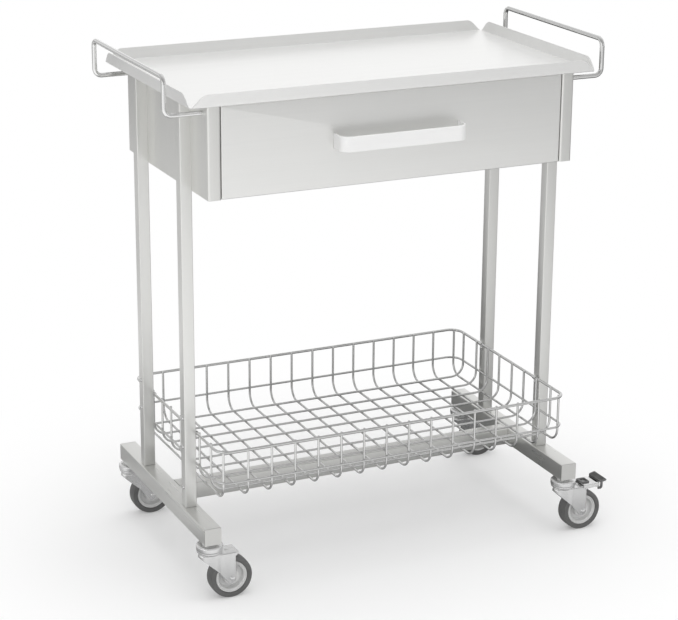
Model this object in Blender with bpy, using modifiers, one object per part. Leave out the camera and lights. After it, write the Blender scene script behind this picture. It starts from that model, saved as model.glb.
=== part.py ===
"""Ward trolley: a sheet-metal worktop over a drawer housing, on a tube frame with a wire basket and casters.

Metres, +Z up, +X to the trolley's right, its drawer facing -Y. Every piece hangs from the empty "trolley",
whose place puts the world's origin on the floor, below the middle of the whole object's box.
"""

import math

import bmesh
import bpy
from mathutils import Matrix, Vector

# Fits
GAP = 0.0003  # between pieces that touch
RUNNING = 0.0003  # round a shaft that turns
SLIDE_PLAY = 0.0006  # between the sections of a drawer slide

# Worktop, one folded sheet with upturned rims that are open at the corners
WORKTOP_LENGTH = 0.740
WORKTOP_DEPTH = 0.406
WORKTOP_HEIGHT = 0.850  # its top face above the floor
WORKTOP_SHEET = 0.0015
RIM_HEIGHT = 0.0215
RIM_LEAN = 0.0014
RIM_CHAMFER = 0.024

# Drawer housing: double-skinned sides whose front fold is the post, and a back panel
WORKTOP_OVERHANG_END = 0.036
WORKTOP_OVERHANG_FRONT = 0.0142
WORKTOP_OVERHANG_REAR = 0.0188
HOUSING_LENGTH = WORKTOP_LENGTH - 2 * WORKTOP_OVERHANG_END
HOUSING_DEPTH = WORKTOP_DEPTH - WORKTOP_OVERHANG_FRONT - WORKTOP_OVERHANG_REAR
HOUSING_HEIGHT = 0.1555
PANEL_SHEET = 0.0012
POST_WIDTH = 0.020
INNER_SKIN_BACK_ROOM = 0.028  # from the inner skin's rear edge to the back panel's face
PANEL_FLANGE = 0.015
PANEL_FOLD = 0.0018

# Tube frame
LEG_SIZE = 0.020
LEG_WALL = 0.0015
LEG_SPACING = 0.2048
FOOT_SIZE = 0.030
FOOT_WALL = 0.0015
FOOT_LENGTH = 0.4264
FOOT_CAP = 0.002
TUBE_CORNER = 0.0012

# Push handles, bent from rod
HANDLE_ROD = 0.008
HANDLE_STANDOFF = 0.0305  # from the worktop's edge to the middle of the rod
HANDLE_FROM_CORNER = 0.018  # from the housing's corners to its ends
HANDLE_SPAN = HOUSING_DEPTH - 2 * HANDLE_FROM_CORNER
HANDLE_RISE = 0.046  # above the worktop's top face
HANDLE_DROP = 0.016  # below it
HANDLE_BEND = 0.012

# Wire basket
BASKET_DEPTH = 0.4118
BASKET_FORWARD = 0.0055
BASKET_RIM_ABOVE_FOOT = 0.1321
BASKET_MIDDLE_BELOW_RIM = 0.0561
BASKET_FLOOR_BELOW_RIM = 0.0837
RIM_WIRE = 0.005
MESH_WIRE = 0.004
CROSS_WIRES = 16
END_WIRE_INSET = 0.0102
LONG_WIRE_SIDE_ROOM = 0.0412  # from the outermost long wires to half the basket's depth
LONG_WIRE_SHARES = (0.146, 0.414, 0.682, 1)  # of the way from the trolley's middle to the outermost
BASKET_CORNER = 0.024
MESH_BEND = 0.024
WELD_SINK = 0.0009  # how far crossing wires are pressed into each other

# Basket clips and their screws
CLIP_WIDTH = 0.010
CLIP_SHEET = 0.0012
CLIP_DROP = 0.0125
CLIP_WRAP = math.radians(250)  # how far it goes round the wire
SCREW_DROP = 0.0079
SCREW_SHANK = 0.004
SCREW_HEAD = 0.0068
SCREW_HEAD_HEIGHT = 0.0028
SCREW_LENGTH = 0.009

# Drawer
DRAWER_SIDE_GAP = 0.0023
DRAWER_TOP_GAP = 0.0025
DRAWER_FRONT_DEPTH = 0.018
DRAWER_FRONT_FOLD = 0.001
DRAWER_SHEET = 0.001
TRAY_BACK_ROOM = 0.0197  # from the tray's end to the back panel's face
TRAY_HEIGHT = 0.110
TRAY_ABOVE_HOUSING = 0.009
TRAY_FOLD = 0.004

# Telescopic slides
SLIDE_SHORTER = 0.005  # than the tray
SLIDE_HEIGHT = 0.045
SLIDE_WIDTH = 0.0122
SLIDE_SHEET = 0.0012
SLIDE_LIP = 0.0098  # from the inner skin to the outer and middle sections' edges
SLIDE_INNER_LIP = 0.0067  # from the tray to the inner section's edges
SLIDE_ABOVE_TRAY = 0.030
SLIDE_MIDDLE_INSET = 0.004  # the middle section ends this far inside the outer one

# Drawer pull, a bent flat strip
PULL_LENGTH = 0.231
PULL_WIDTH = 0.0258
PULL_SHEET = 0.003
PULL_REACH = 0.037
PULL_BEND = 0.018
PULL_BELOW_WORKTOP = 0.0786

# Casters
CASTER_HEIGHT = 0.105
CASTER_INSET = 0.019
WHEEL_RADIUS = 0.0375
TYRE_WIDTH = 0.023
TYRE_CROWN = 0.0004
TYRE_SHOULDER = 0.0015
HUB_RADIUS = 0.028
HUB_WIDTH = 0.0215
HUB_RIM = 0.004
HUB_WEB = 0.006
HUB_BOSS_RADIUS = 0.009
AXLE_DIAMETER = 0.006
AXLE_HEAD_RADIUS = 0.0055
AXLE_HEAD_HEIGHT = 0.0035
TRAIL = 0.0353
STEM_DIAMETER = 0.010
STEM_LENGTH = 0.024
COLLAR_RADIUS = 0.012
RACE_RADIUS = 0.023
RACE_TOP = 0.0038
RACE_HEIGHT = 0.0092
RACE_ROUND = 0.0022
HEAD_RADIUS = 0.0205  # of the part of the fork's head that turns inside the race
HEAD_FLANGE_RADIUS = 0.0222
HEAD_FLANGE_HEIGHT = 0.004
HEAD_FOOT_RADIUS = 0.017
FORK_TOP = 0.0196
FORK_SHEET = 0.0025
FORK_WIDTH = 0.0315
HOOD_SHEET = 0.0016
HOOD_NOSE = 0.0202
HOOD_WIDTH = 0.0256  # round the nose
HOOD_FLARE_START = -0.0005  # from here the hood widens to meet the cheeks
HOOD_INSET = 0.0015  # its end lies this far inside the cheeks' faces
NOSE_SHARE = 0.98  # of half the width, rounded off at the nose
CHEEK_FRONT = 0.0126
CHEEK_REAR = 0.0464
CHEEK_NECK = 0.0412  # where its rear edge goes straight down
CHEEK_STEP = 0.0085
CHEEK_TIP_RADIUS = 0.008
CHEEK_TIP_DROP = 0.0012  # of the tip's round below the axle
CHEEK_TIP_TURN = math.radians(141)
HOOD_DROP = 0.036  # how far the fork's slanted lower edge falls from nose to cheek

# Wheel brake on the front right caster: a rocking lever over the fork, with a pedal and a release tab
BRAKE_PIN_X = 0.039  # from the swivel axis
BRAKE_PIN_DROP = 0.0044  # below the fork's top
BRAKE_PIN_DIAMETER = 0.0026
BRAKE_PIN_HEAD_RADIUS = 0.0022
BRAKE_PIN_HEAD_HEIGHT = 0.0012
LEVER_START = 0.034
LEVER_END = 0.066
LEVER_SHEET = 0.0016
LEVER_RISE = 0.0015  # its web above the fork's top, so that it can rock
LEVER_SIDE_GAP = 0.0004
LEVER_FLANGE = 0.0075
TONGUE_WIDTH = 0.028
TONGUE_LENGTH = 0.010
PEDAL_START = 0.0675
PEDAL_LENGTH = 0.0125
PEDAL_WIDTH = 0.042
PEDAL_THICKNESS = 0.003
PEDAL_TILT = math.radians(17)
PEDAL_HOOK_DROP = 0.011
PEDAL_HOOK_REACH = 0.005
PEDAL_HOOK_SHEET = 0.0025
TAB_START = 0.0325
TAB_LENGTH = 0.0175
TAB_WIDTH = 0.021
TAB_THICKNESS = 0.0025

# Facets
ROUND_STEPS = 20
SMALL_ROUND_STEPS = 10
BEND_STEPS = 3
NOSE_STEPS = 4
WIRE_BEND_STEPS = 2

# Derived places
WORKTOP_SETBACK = (WORKTOP_OVERHANG_REAR - WORKTOP_OVERHANG_FRONT) / 2  # its middle, behind the housing's
REST = -HOUSING_DEPTH / 2  # the plane of the drawer's face and the posts
HOUSING_HALF = HOUSING_LENGTH / 2
WORKTOP_UNDERSIDE = WORKTOP_HEIGHT - WORKTOP_SHEET
HOUSING_BOTTOM = WORKTOP_UNDERSIDE - HOUSING_HEIGHT
LEG_X = HOUSING_HALF + GAP + LEG_SIZE / 2
LEG_Y = LEG_SPACING / 2
FOOT_BOTTOM = CASTER_HEIGHT
FOOT_TOP = FOOT_BOTTOM + FOOT_SIZE
CASTER_Y = FOOT_LENGTH / 2 - CASTER_INSET
HANDLE_X = WORKTOP_LENGTH / 2 + HANDLE_STANDOFF
SKIN_X = HOUSING_HALF - POST_WIDTH  # the inner skin's face towards the drawer
TRAY_HALF = SKIN_X - 2 * GAP - SLIDE_WIDTH
TRAY_BOTTOM = HOUSING_BOTTOM + TRAY_ABOVE_HOUSING
TRAY_LENGTH = HOUSING_DEPTH - DRAWER_FRONT_DEPTH - GAP - TRAY_BACK_ROOM
SLIDE_LENGTH = TRAY_LENGTH - SLIDE_SHORTER
SLIDE_Z = TRAY_BOTTOM + SLIDE_ABOVE_TRAY + SLIDE_HEIGHT / 2
BASKET_HALF = LEG_X - LEG_SIZE / 2 - GAP - RIM_WIRE / 2
BASKET_RIM_Z = FOOT_TOP + BASKET_RIM_ABOVE_FOOT
MESH_INSET = (RIM_WIRE + MESH_WIRE) / 2 - WELD_SINK
PULL_Z = WORKTOP_HEIGHT - PULL_BELOW_WORKTOP
AXLE_Z = WHEEL_RADIUS - CASTER_HEIGHT  # from the foot bar's underside

# The pieces that reach furthest each way, which centre the whole object on the world's origin
REACH_LEFT = HANDLE_X + HANDLE_ROD / 2
REACH_RIGHT = LEG_X + PEDAL_START + PEDAL_LENGTH * math.cos(PEDAL_TILT)
REACH_FRONT = -REST + PULL_REACH
REACH_BACK = CASTER_Y + RACE_RADIUS


# Scene and objects


def clear_scene():
    for obj in list(bpy.data.objects):
        bpy.data.objects.remove(obj, do_unlink=True)


def new_collection(name):
    made = bpy.data.collections.new(name)
    bpy.context.scene.collection.children.link(made)
    return made


def new_material(name, colour, roughness, metallic):
    material = bpy.data.materials.new(name)
    material.use_nodes = True
    shader = material.node_tree.nodes["Principled BSDF"]
    shader.inputs["Base Color"].default_value = (*colour, 1)
    shader.inputs["Roughness"].default_value = roughness
    shader.inputs["Metallic"].default_value = metallic
    return material


def new_empty(name, location, parent=None):
    empty = bpy.data.objects.new(name, None)
    empty.empty_display_size = 0.03
    empty.location = location
    empty.parent = parent
    parts.objects.link(empty)
    return empty


def add_piece(name, data, material, parent, location=(0, 0, 0), rotation=(0, 0, 0)):
    """One sub-part: an object named for its node, in its own material, placed under its parent."""
    obj = bpy.data.objects.new(name, data)
    parts.objects.link(obj)
    obj.parent = parent
    obj.location = location
    obj.rotation_euler = rotation
    if not data.materials:
        data.materials.append(material)
    if isinstance(data, bpy.types.Mesh):
        data.shade_smooth()
        data.set_sharp_from_angle(angle=math.radians(35))
    return obj


def add_cutter(name, data, parent, location=(0, 0, 0), rotation=(0, 0, 0)):
    obj = bpy.data.objects.new(name, data)
    cutters.objects.link(obj)
    obj.parent = parent
    obj.location = location
    obj.rotation_euler = rotation
    obj.hide_render = True
    obj.display_type = "WIRE"
    return obj


def boolean(obj, operand, operation="DIFFERENCE"):
    modifier = obj.modifiers.new(operand.name, "BOOLEAN")
    modifier.operation = operation
    if isinstance(operand, bpy.types.Collection):
        modifier.operand_type = "COLLECTION"
        modifier.collection = operand
    else:
        modifier.object = operand
    return modifier


def solidify(obj, thickness, offset):
    modifier = obj.modifiers.new("sheet", "SOLIDIFY")
    modifier.thickness = thickness
    modifier.offset = offset
    modifier.use_even_offset = True
    return modifier


def bevel(obj, width, segments=1, angle=math.radians(50)):
    modifier = obj.modifiers.new("edges", "BEVEL")
    modifier.width = width
    modifier.segments = segments
    modifier.limit_method = "ANGLE"
    modifier.angle_limit = angle
    return modifier


# Shapes


def mesh_from(bm, name):
    mesh = bpy.data.meshes.new(name)
    bm.to_mesh(mesh)
    bm.free()
    return mesh


def box_mesh(name, low, high):
    low, high = Vector(low), Vector(high)
    bm = bmesh.new()
    bmesh.ops.create_cube(bm, size=1)
    bmesh.ops.scale(bm, vec=high - low, verts=bm.verts)
    bmesh.ops.translate(bm, vec=(low + high) / 2, verts=bm.verts)
    return mesh_from(bm, name)


def cylinder_mesh(name, radius, length, steps=SMALL_ROUND_STEPS):
    bm = bmesh.new()
    bmesh.ops.create_cone(
        bm, cap_ends=True, segments=steps, radius1=radius, radius2=radius, depth=length
    )
    return mesh_from(bm, name)


def rounded(points, radius, steps, closed=False):
    """The same route with each corner an arc of this radius. The ends of an open route stay."""
    points = [Vector(p) for p in points]
    route = []
    for i, corner in enumerate(points):
        if not closed and i in (0, len(points) - 1):
            route.append(corner)
            continue
        before = (points[i - 1] - corner).normalized()
        after = (points[(i + 1) % len(points)] - corner).normalized()
        half_angle = before.angle(after) / 2
        middle = corner + (before + after).normalized() * radius / math.sin(half_angle)
        start = corner + before * radius / math.tan(half_angle)
        turn = math.pi - 2 * half_angle
        axis = before.cross(after).normalized() if len(corner) == 3 else None
        for k in range(steps + 1):
            angle = -turn * k / steps
            arm = start - middle
            if axis is None:
                sign = math.copysign(1, before.x * after.y - before.y * after.x)
                route.append(middle + Matrix.Rotation(sign * angle, 2) @ arm)
            else:
                route.append(middle + Matrix.Rotation(angle, 3, axis) @ arm)
    return route


def curve_mesh(curve):
    """The mesh of a curve, with its caps welded on."""
    holder = bpy.data.objects.new(curve.name, curve)
    bpy.context.scene.collection.objects.link(holder)
    graph = bpy.context.evaluated_depsgraph_get()
    mesh = bpy.data.meshes.new_from_object(holder.evaluated_get(graph))
    bpy.data.objects.remove(holder)
    bm = bmesh.new()
    bm.from_mesh(mesh)
    bmesh.ops.remove_doubles(bm, verts=bm.verts, dist=1e-6)
    bm.to_mesh(mesh)
    bm.free()
    mesh.name = curve.name
    return mesh


def rod_curve(name, points, diameter, resolution, closed=False):
    curve = bpy.data.curves.new(name, "CURVE")
    curve.dimensions = "3D"
    curve.bevel_depth = diameter / 2
    curve.bevel_resolution = resolution
    curve.use_fill_caps = True
    spline = curve.splines.new("POLY")
    spline.points.add(len(points) - 1)
    for target, point in zip(spline.points, points):
        target.co = (*point, 1)
    spline.use_cyclic_u = closed
    return curve


def plate_mesh(name, outlines, thickness):
    """A flat plate in XY, centred on its thickness. The outlines after the first are holes in it."""
    curve = bpy.data.curves.new(name, "CURVE")
    curve.dimensions = "2D"
    curve.fill_mode = "BOTH"
    curve.extrude = thickness / 2
    for outline in outlines:
        spline = curve.splines.new("POLY")
        spline.points.add(len(outline) - 1)
        for target, point in zip(spline.points, outline):
            target.co = (point[0], point[1], 0, 1)
        spline.use_cyclic_u = True
    return curve_mesh(curve)


def rectangle(width, height):
    x, y = width / 2, height / 2
    return [(-x, -y), (x, -y), (x, y), (-x, y)]


def tube_mesh(name, size, wall, length):
    """A square tube along Z, centred, open at both ends."""
    outer = rounded(rectangle(size, size), TUBE_CORNER, 2, closed=True)
    inner = rounded(rectangle(size - 2 * wall, size - 2 * wall), TUBE_CORNER - wall / 2, 1, closed=True)
    return plate_mesh(name, [outer, inner], length)


def strip_mesh(name, path, width, plane):
    """An open strip: a route in the plane "XY", "YZ" or "XZ", drawn out by width along the third axis."""
    lift = {
        "XY": lambda a, b, c: (a, b, c),
        "YZ": lambda a, b, c: (c, a, b),
        "XZ": lambda a, b, c: (a, c, b),
    }[plane]
    bm = bmesh.new()
    verts = [bm.verts.new(lift(a, b, -width / 2)) for a, b in path]
    edges = [bm.edges.new(pair) for pair in zip(verts, verts[1:])]
    drawn = bmesh.ops.extrude_edge_only(bm, edges=edges)["geom"]
    moved = [item for item in drawn if isinstance(item, bmesh.types.BMVert)]
    bmesh.ops.translate(bm, vec=lift(0, 0, width), verts=moved)
    return mesh_from(bm, name)


def turned_mesh(name, profile, steps=ROUND_STEPS, closed=False):
    """A profile of (radius, height) points, spun about Z. It runs down the outside, top to bottom."""
    bm = bmesh.new()
    verts = [bm.verts.new((radius, 0, height)) for radius, height in profile]
    for pair in zip(verts, verts[1:]):
        bm.edges.new(pair)
    if closed:
        bm.edges.new((verts[-1], verts[0]))
    mesh = mesh_from(bm, name)
    holder = bpy.data.objects.new(name, mesh)
    bpy.context.scene.collection.objects.link(holder)
    screw = holder.modifiers.new("turn", "SCREW")
    screw.steps = steps
    screw.render_steps = steps
    screw.use_merge_vertices = True
    screw.merge_threshold = 0.00001
    graph = bpy.context.evaluated_depsgraph_get()
    turned = bpy.data.meshes.new_from_object(holder.evaluated_get(graph))
    bpy.data.objects.remove(holder)
    bpy.data.meshes.remove(mesh)
    turned.name = name
    return turned


# Worktop and housing


def build_worktop():
    half_x, half_y = WORKTOP_LENGTH / 2, WORKTOP_DEPTH / 2
    bm = bmesh.new()
    bmesh.ops.create_grid(bm, x_segments=1, y_segments=1, size=1)
    bmesh.ops.scale(bm, vec=(half_x, half_y, 1), verts=bm.verts)
    for edge in list(bm.edges):
        ends = [vert.co.copy() for vert in edge.verts]
        middle = (ends[0] + ends[1]) / 2
        outwards = middle.normalized()
        rim = bmesh.ops.extrude_edge_only(bm, edges=[edge])["geom"]
        for vert in (item for item in rim if isinstance(item, bmesh.types.BMVert)):
            inwards = (middle - vert.co).normalized()
            vert.co += inwards * RIM_CHAMFER + outwards * RIM_LEAN + Vector((0, 0, RIM_HEIGHT))
    worktop = add_piece(
        "worktop",
        mesh_from(bm, "worktop"),
        steel,
        trolley,
        (0, WORKTOP_SETBACK, WORKTOP_UNDERSIDE),
    )
    sheet = solidify(worktop, WORKTOP_SHEET, 1)
    sheet.solidify_mode = "NON_MANIFOLD"
    sheet.nonmanifold_thickness_mode = "CONSTRAINTS"


def build_side_panel(name, side):
    rear = -REST
    route = [
        (side * HOUSING_HALF, rear),
        (side * HOUSING_HALF, REST),
        (side * SKIN_X, REST),
        (side * SKIN_X, -REST - INNER_SKIN_BACK_ROOM),
    ]
    height = HOUSING_HEIGHT - GAP
    mesh = strip_mesh(name, rounded(route, PANEL_FOLD, 2), height, "XY")
    panel = add_piece(name, mesh, steel, trolley, (0, 0, HOUSING_BOTTOM + height / 2))
    solidify(panel, PANEL_SHEET, -side)


def build_back_panel():
    rear = -REST
    top = WORKTOP_UNDERSIDE - GAP
    route = [
        (rear - PANEL_FLANGE, HOUSING_BOTTOM),
        (rear, HOUSING_BOTTOM),
        (rear, top),
        (rear - PANEL_FLANGE, top),
    ]
    width = 2 * (HOUSING_HALF - PANEL_SHEET - GAP)
    mesh = strip_mesh("back_panel", rounded(route, PANEL_FOLD, 2), width, "YZ")
    panel = add_piece("back_panel", mesh, steel, trolley)
    solidify(panel, PANEL_SHEET, 1)


def build_handle(name, side):
    inner, outer = side * (HOUSING_HALF + GAP), side * HANDLE_X
    low = WORKTOP_HEIGHT - HANDLE_DROP
    high = WORKTOP_HEIGHT + HANDLE_RISE
    y = HANDLE_SPAN / 2
    route = [
        (inner, -y, low),
        (outer, -y, low),
        (outer, -y, high),
        (outer, y, high),
        (outer, y, low),
        (inner, y, low),
    ]
    curve = rod_curve(name, rounded(route, HANDLE_BEND, BEND_STEPS), HANDLE_ROD, 2)
    add_piece(name, curve_mesh(curve), bright_steel, trolley)


# Tube frame


def build_leg(name, side, end):
    bottom, top = FOOT_TOP + GAP, WORKTOP_UNDERSIDE - GAP
    mesh = tube_mesh(name, LEG_SIZE, LEG_WALL, top - bottom)
    leg = add_piece(name, mesh, steel, trolley, (side * LEG_X, end * LEG_Y, (bottom + top) / 2))
    hole = cylinder_mesh(name + "_hole", SCREW_SHANK / 2 + GAP, 4 * LEG_WALL)
    place = (side * (LEG_X - LEG_SIZE / 2), end * LEG_Y, BASKET_RIM_Z - SCREW_DROP)
    boolean(leg, add_cutter(name + "_hole", hole, trolley, place, (0, math.pi / 2, 0)))


def build_foot(name, side):
    length = FOOT_LENGTH - 2 * (FOOT_CAP + GAP)
    middle = FOOT_BOTTOM + FOOT_SIZE / 2
    mesh = tube_mesh(name, FOOT_SIZE, FOOT_WALL, length)
    foot = add_piece(name, mesh, steel, trolley, (side * LEG_X, 0, middle), (math.pi / 2, 0, 0))
    outline = rounded(rectangle(FOOT_SIZE, FOOT_SIZE), TUBE_CORNER, 2, closed=True)
    for end, label in ((-1, "front"), (1, "rear")):
        hole = cylinder_mesh(f"{name}_{label}_hole", STEM_DIAMETER / 2 + GAP, 4 * FOOT_WALL, ROUND_STEPS)
        place = (side * LEG_X, end * CASTER_Y, FOOT_BOTTOM)
        boolean(foot, add_cutter(f"{name}_{label}_hole", hole, trolley, place))
        cap = plate_mesh(f"{name}_{label}_cap", [outline], FOOT_CAP)
        place = (side * LEG_X, end * (FOOT_LENGTH - FOOT_CAP) / 2, middle)
        add_piece(f"{name}_{label}_cap", cap, steel, trolley, place, (math.pi / 2, 0, 0))


def build_cross_beam():
    length = 2 * (LEG_X - FOOT_SIZE / 2 - GAP)
    mesh = tube_mesh("cross_beam", FOOT_SIZE, FOOT_WALL, length)
    place = (0, 0, FOOT_BOTTOM + FOOT_SIZE / 2)
    add_piece("cross_beam", mesh, steel, trolley, place, (0, math.pi / 2, 0))


# Wire basket


def basket_ring(name, height, diameter, inset=0):
    half_x, half_y = BASKET_HALF - inset, BASKET_DEPTH / 2 - inset
    corners = [(x, y, height) for x, y in rectangle(2 * half_x, 2 * half_y)]
    route = rounded(corners, BASKET_CORNER, WIRE_BEND_STEPS + 1, closed=True)
    return curve_mesh(rod_curve(name, route, diameter, 1, closed=True))


def corner_setback(from_end):
    """How far the ring has curved in at this distance from its end."""
    if from_end >= BASKET_CORNER:
        return 0
    return BASKET_CORNER - math.sqrt(BASKET_CORNER**2 - (BASKET_CORNER - from_end) ** 2)


def build_basket():
    """Two rings, with two layers of mesh wires bent up inside them, welded where they cross."""
    place = (0, -BASKET_FORWARD, BASKET_RIM_Z)
    top = RIM_WIRE / 2
    upper = -BASKET_FLOOR_BELOW_RIM
    lower = upper - MESH_WIRE + WELD_SINK
    wires = new_collection("basket_wires")
    wires.hide_render = True
    routes = []
    first = BASKET_HALF - END_WIRE_INSET
    for i in range(CROSS_WIRES):
        x = -first + 2 * first * i / (CROSS_WIRES - 1)
        y = BASKET_DEPTH / 2 - MESH_INSET - corner_setback(BASKET_HALF - abs(x))
        routes.append([(x, -y, top), (x, -y, lower), (x, y, lower), (x, y, top)])
    outermost = BASKET_DEPTH / 2 - LONG_WIRE_SIDE_ROOM
    for share in LONG_WIRE_SHARES:
        for y in (BASKET_FORWARD - share * outermost, BASKET_FORWARD + share * outermost):
            x = BASKET_HALF - MESH_INSET
            routes.append([(-x, y, top), (-x, y, upper), (x, y, upper), (x, y, top)])
    inset = (RIM_WIRE - MESH_WIRE) / 2
    meshes = [basket_ring("basket_middle_ring", -BASKET_MIDDLE_BELOW_RIM, MESH_WIRE, inset)]
    for i, route in enumerate(routes):
        curve = rod_curve(f"basket_wire_{i}", rounded(route, MESH_BEND, WIRE_BEND_STEPS), MESH_WIRE, 1)
        meshes.append(curve_mesh(curve))
    for mesh in meshes:
        wire = bpy.data.objects.new(mesh.name, mesh)
        wires.objects.link(wire)
        wire.parent = trolley
        wire.location = place
        wire.hide_render = True
        wire.display_type = "WIRE"
    basket = add_piece("basket", basket_ring("basket", 0, RIM_WIRE), wire_steel, trolley, place)
    boolean(basket, wires, "UNION")


def build_clip(name, side, end):
    """A strap that lies on the leg and hooks over the basket's rim, with its screw."""
    wire_x = BASKET_HALF
    leaf_x = wire_x + RIM_WIRE / 2 - CLIP_SHEET / 2
    radius = RIM_WIRE / 2 + GAP + CLIP_SHEET / 2
    start = math.asin((leaf_x - wire_x) / radius)
    route = [(leaf_x, -CLIP_DROP), (leaf_x, -radius * math.cos(start))]
    turn = CLIP_WRAP - start
    for k in range(1, 6):
        angle = start - turn * k / 5
        route.append((wire_x + radius * math.sin(angle), -radius * math.cos(angle)))
    route = [(side * x, z) for x, z in route]
    place = (0, end * LEG_Y, BASKET_RIM_Z)
    clip = add_piece(name, strip_mesh(name, route, CLIP_WIDTH, "XZ"), bright_steel, trolley, place)
    solidify(clip, CLIP_SHEET, 0)
    hole = cylinder_mesh(name + "_hole", SCREW_SHANK / 2 + GAP, 3 * CLIP_SHEET)
    screw_place = (side * leaf_x, end * LEG_Y, BASKET_RIM_Z - SCREW_DROP)
    boolean(clip, add_cutter(name + "_hole", hole, trolley, screw_place, (0, math.pi / 2, 0)))
    screw = screw_mesh(name + "_screw", SCREW_SHANK, SCREW_HEAD, SCREW_HEAD_HEIGHT, SCREW_LENGTH)
    seat = leaf_x - CLIP_SHEET / 2 - GAP
    place = (side * seat, end * LEG_Y, BASKET_RIM_Z - SCREW_DROP)
    add_piece(name + "_screw", screw, bright_steel, trolley, place, (0, -side * math.pi / 2, 0))


def screw_mesh(name, shank, head, head_height, length):
    """A dome-headed screw along Z, its head's flat face at height 0 and its shank below."""
    dome = [
        (head / 2 * math.cos(math.radians(a)), head_height * math.sin(math.radians(a))) for a in (90, 45, 0)
    ]
    dome[0] = (0, head_height)
    profile = dome + [(shank / 2, 0), (shank / 2, -length), (0, -length)]
    return turned_mesh(name, profile, SMALL_ROUND_STEPS)


# Drawer


def build_drawer():
    drawer = new_empty("drawer_origin", (0, REST, SLIDE_Z), trolley)
    half = SKIN_X - DRAWER_SIDE_GAP
    bottom, top = HOUSING_BOTTOM - SLIDE_Z, WORKTOP_UNDERSIDE - DRAWER_TOP_GAP - SLIDE_Z
    front = add_piece(
        "drawer_front",
        open_box_mesh("drawer_front", (-half, 0, bottom), (half, DRAWER_FRONT_DEPTH, top), (0, 1, 0)),
        front_steel,
        drawer,
    )
    bevel(front, DRAWER_FRONT_FOLD)
    solidify(front, DRAWER_SHEET, -1)

    tray_front = DRAWER_FRONT_DEPTH + GAP
    low = (-TRAY_HALF, tray_front, TRAY_BOTTOM - SLIDE_Z)
    high = (TRAY_HALF, tray_front + TRAY_LENGTH, TRAY_BOTTOM + TRAY_HEIGHT - SLIDE_Z)
    tray = add_piece("drawer_tray", open_box_mesh("drawer_tray", low, high, (0, 0, 1)), steel, drawer)
    bevel(tray, TRAY_FOLD, 2)
    solidify(tray, DRAWER_SHEET, -1)
    build_pull(drawer)
    for side, label in ((-1, "left"), (1, "right")):
        build_slide(label, side, drawer)


def open_box_mesh(name, low, high, open_side):
    low, high = Vector(low), Vector(high)
    bm = bmesh.new()
    bmesh.ops.create_cube(bm, size=1)
    bmesh.ops.scale(bm, vec=high - low, verts=bm.verts)
    bmesh.ops.translate(bm, vec=(low + high) / 2, verts=bm.verts)
    bm.normal_update()
    lid = [face for face in bm.faces if face.normal.dot(Vector(open_side)) > 0.9]
    bmesh.ops.delete(bm, geom=lid, context="FACES_ONLY")
    return mesh_from(bm, name)


def build_pull(drawer):
    half = PULL_LENGTH / 2
    route = [(-half, -GAP), (-half, -PULL_REACH), (half, -PULL_REACH), (half, -GAP)]
    mesh = strip_mesh("drawer_pull", rounded(route, PULL_BEND, 5), PULL_WIDTH, "XY")
    pull = add_piece("drawer_pull", mesh, pull_finish, drawer, (0, 0, PULL_Z - SLIDE_Z))
    solidify(pull, PULL_SHEET, 1)


def build_slide(label, side, drawer):
    """Three nested channels: one on the housing, one between, one on the tray."""
    mount = SKIN_X - GAP
    start = DRAWER_FRONT_DEPTH + GAP
    outer_half = SLIDE_HEIGHT / 2
    middle_half = outer_half - SLIDE_SHEET - SLIDE_PLAY
    inner_half = middle_half - SLIDE_SHEET - SLIDE_PLAY
    middle_web = mount - SLIDE_SHEET - SLIDE_PLAY
    tray_side = mount - SLIDE_WIDTH
    lip, inner_lip = mount - SLIDE_LIP, tray_side + SLIDE_INNER_LIP
    sections = (
        ("outer", mount, lip, outer_half, trolley, 0),
        ("middle", middle_web, lip, middle_half, trolley, SLIDE_MIDDLE_INSET),
        ("inner", tray_side, inner_lip, inner_half, drawer, 0),
    )
    for section, web, edge, half, parent, inset in sections:
        name = f"slide_{section}_{label}"
        length = SLIDE_LENGTH - 2 * inset
        route = [(side * edge, -half), (side * web, -half), (side * web, half), (side * edge, half)]
        place = Vector((0, start + SLIDE_LENGTH / 2, 0))
        if parent is trolley:
            place += drawer.location
        channel = add_piece(name, strip_mesh(name, route, length, "XZ"), slide_zinc, parent, place)
        opens_inwards = 1 if section == "inner" else -1
        solidify(channel, SLIDE_SHEET, side * opens_inwards)


# Casters


def mount_mesh():
    """The stem in the foot bar, its collar, and the race's dish. Height 0 is the foot bar's underside."""
    stem, low = STEM_DIAMETER / 2, RACE_TOP + RACE_HEIGHT
    profile = [
        (0, STEM_LENGTH),
        (stem, STEM_LENGTH),
        (stem, -GAP),
        (COLLAR_RADIUS, -GAP),
        (COLLAR_RADIUS, -RACE_TOP),
        (RACE_RADIUS - RACE_ROUND, -RACE_TOP),
        (RACE_RADIUS, -RACE_TOP - RACE_ROUND),
        (RACE_RADIUS, -low),
        (HEAD_RADIUS + RUNNING, -low),
        (HEAD_RADIUS + RUNNING, -low + FORK_SHEET),
        (0, -low + FORK_SHEET),
    ]
    return turned_mesh("caster_mount", profile)


def nose_outline(end, half, inset=0):
    """Two straight sides from this end to the fork's nose, which is rounded."""
    nose = -HOOD_NOSE + inset
    corners = [(end, -half), (nose, -half), (nose, half), (end, half)]
    return rounded(corners, half * NOSE_SHARE, NOSE_STEPS)


def hood_outline(half, inset):
    """The hood's wall in plan, drawn in by inset: a narrow nose that widens to the cheeks."""
    end = (CHEEK_FRONT + CHEEK_REAR) / 2
    nose = nose_outline(HOOD_FLARE_START, HOOD_WIDTH / 2 - inset, inset)
    sides = [(end, inset - half), (CHEEK_FRONT, inset - half)]
    return [*sides, *nose, *((x, -y) for x, y in reversed(sides))]


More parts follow.
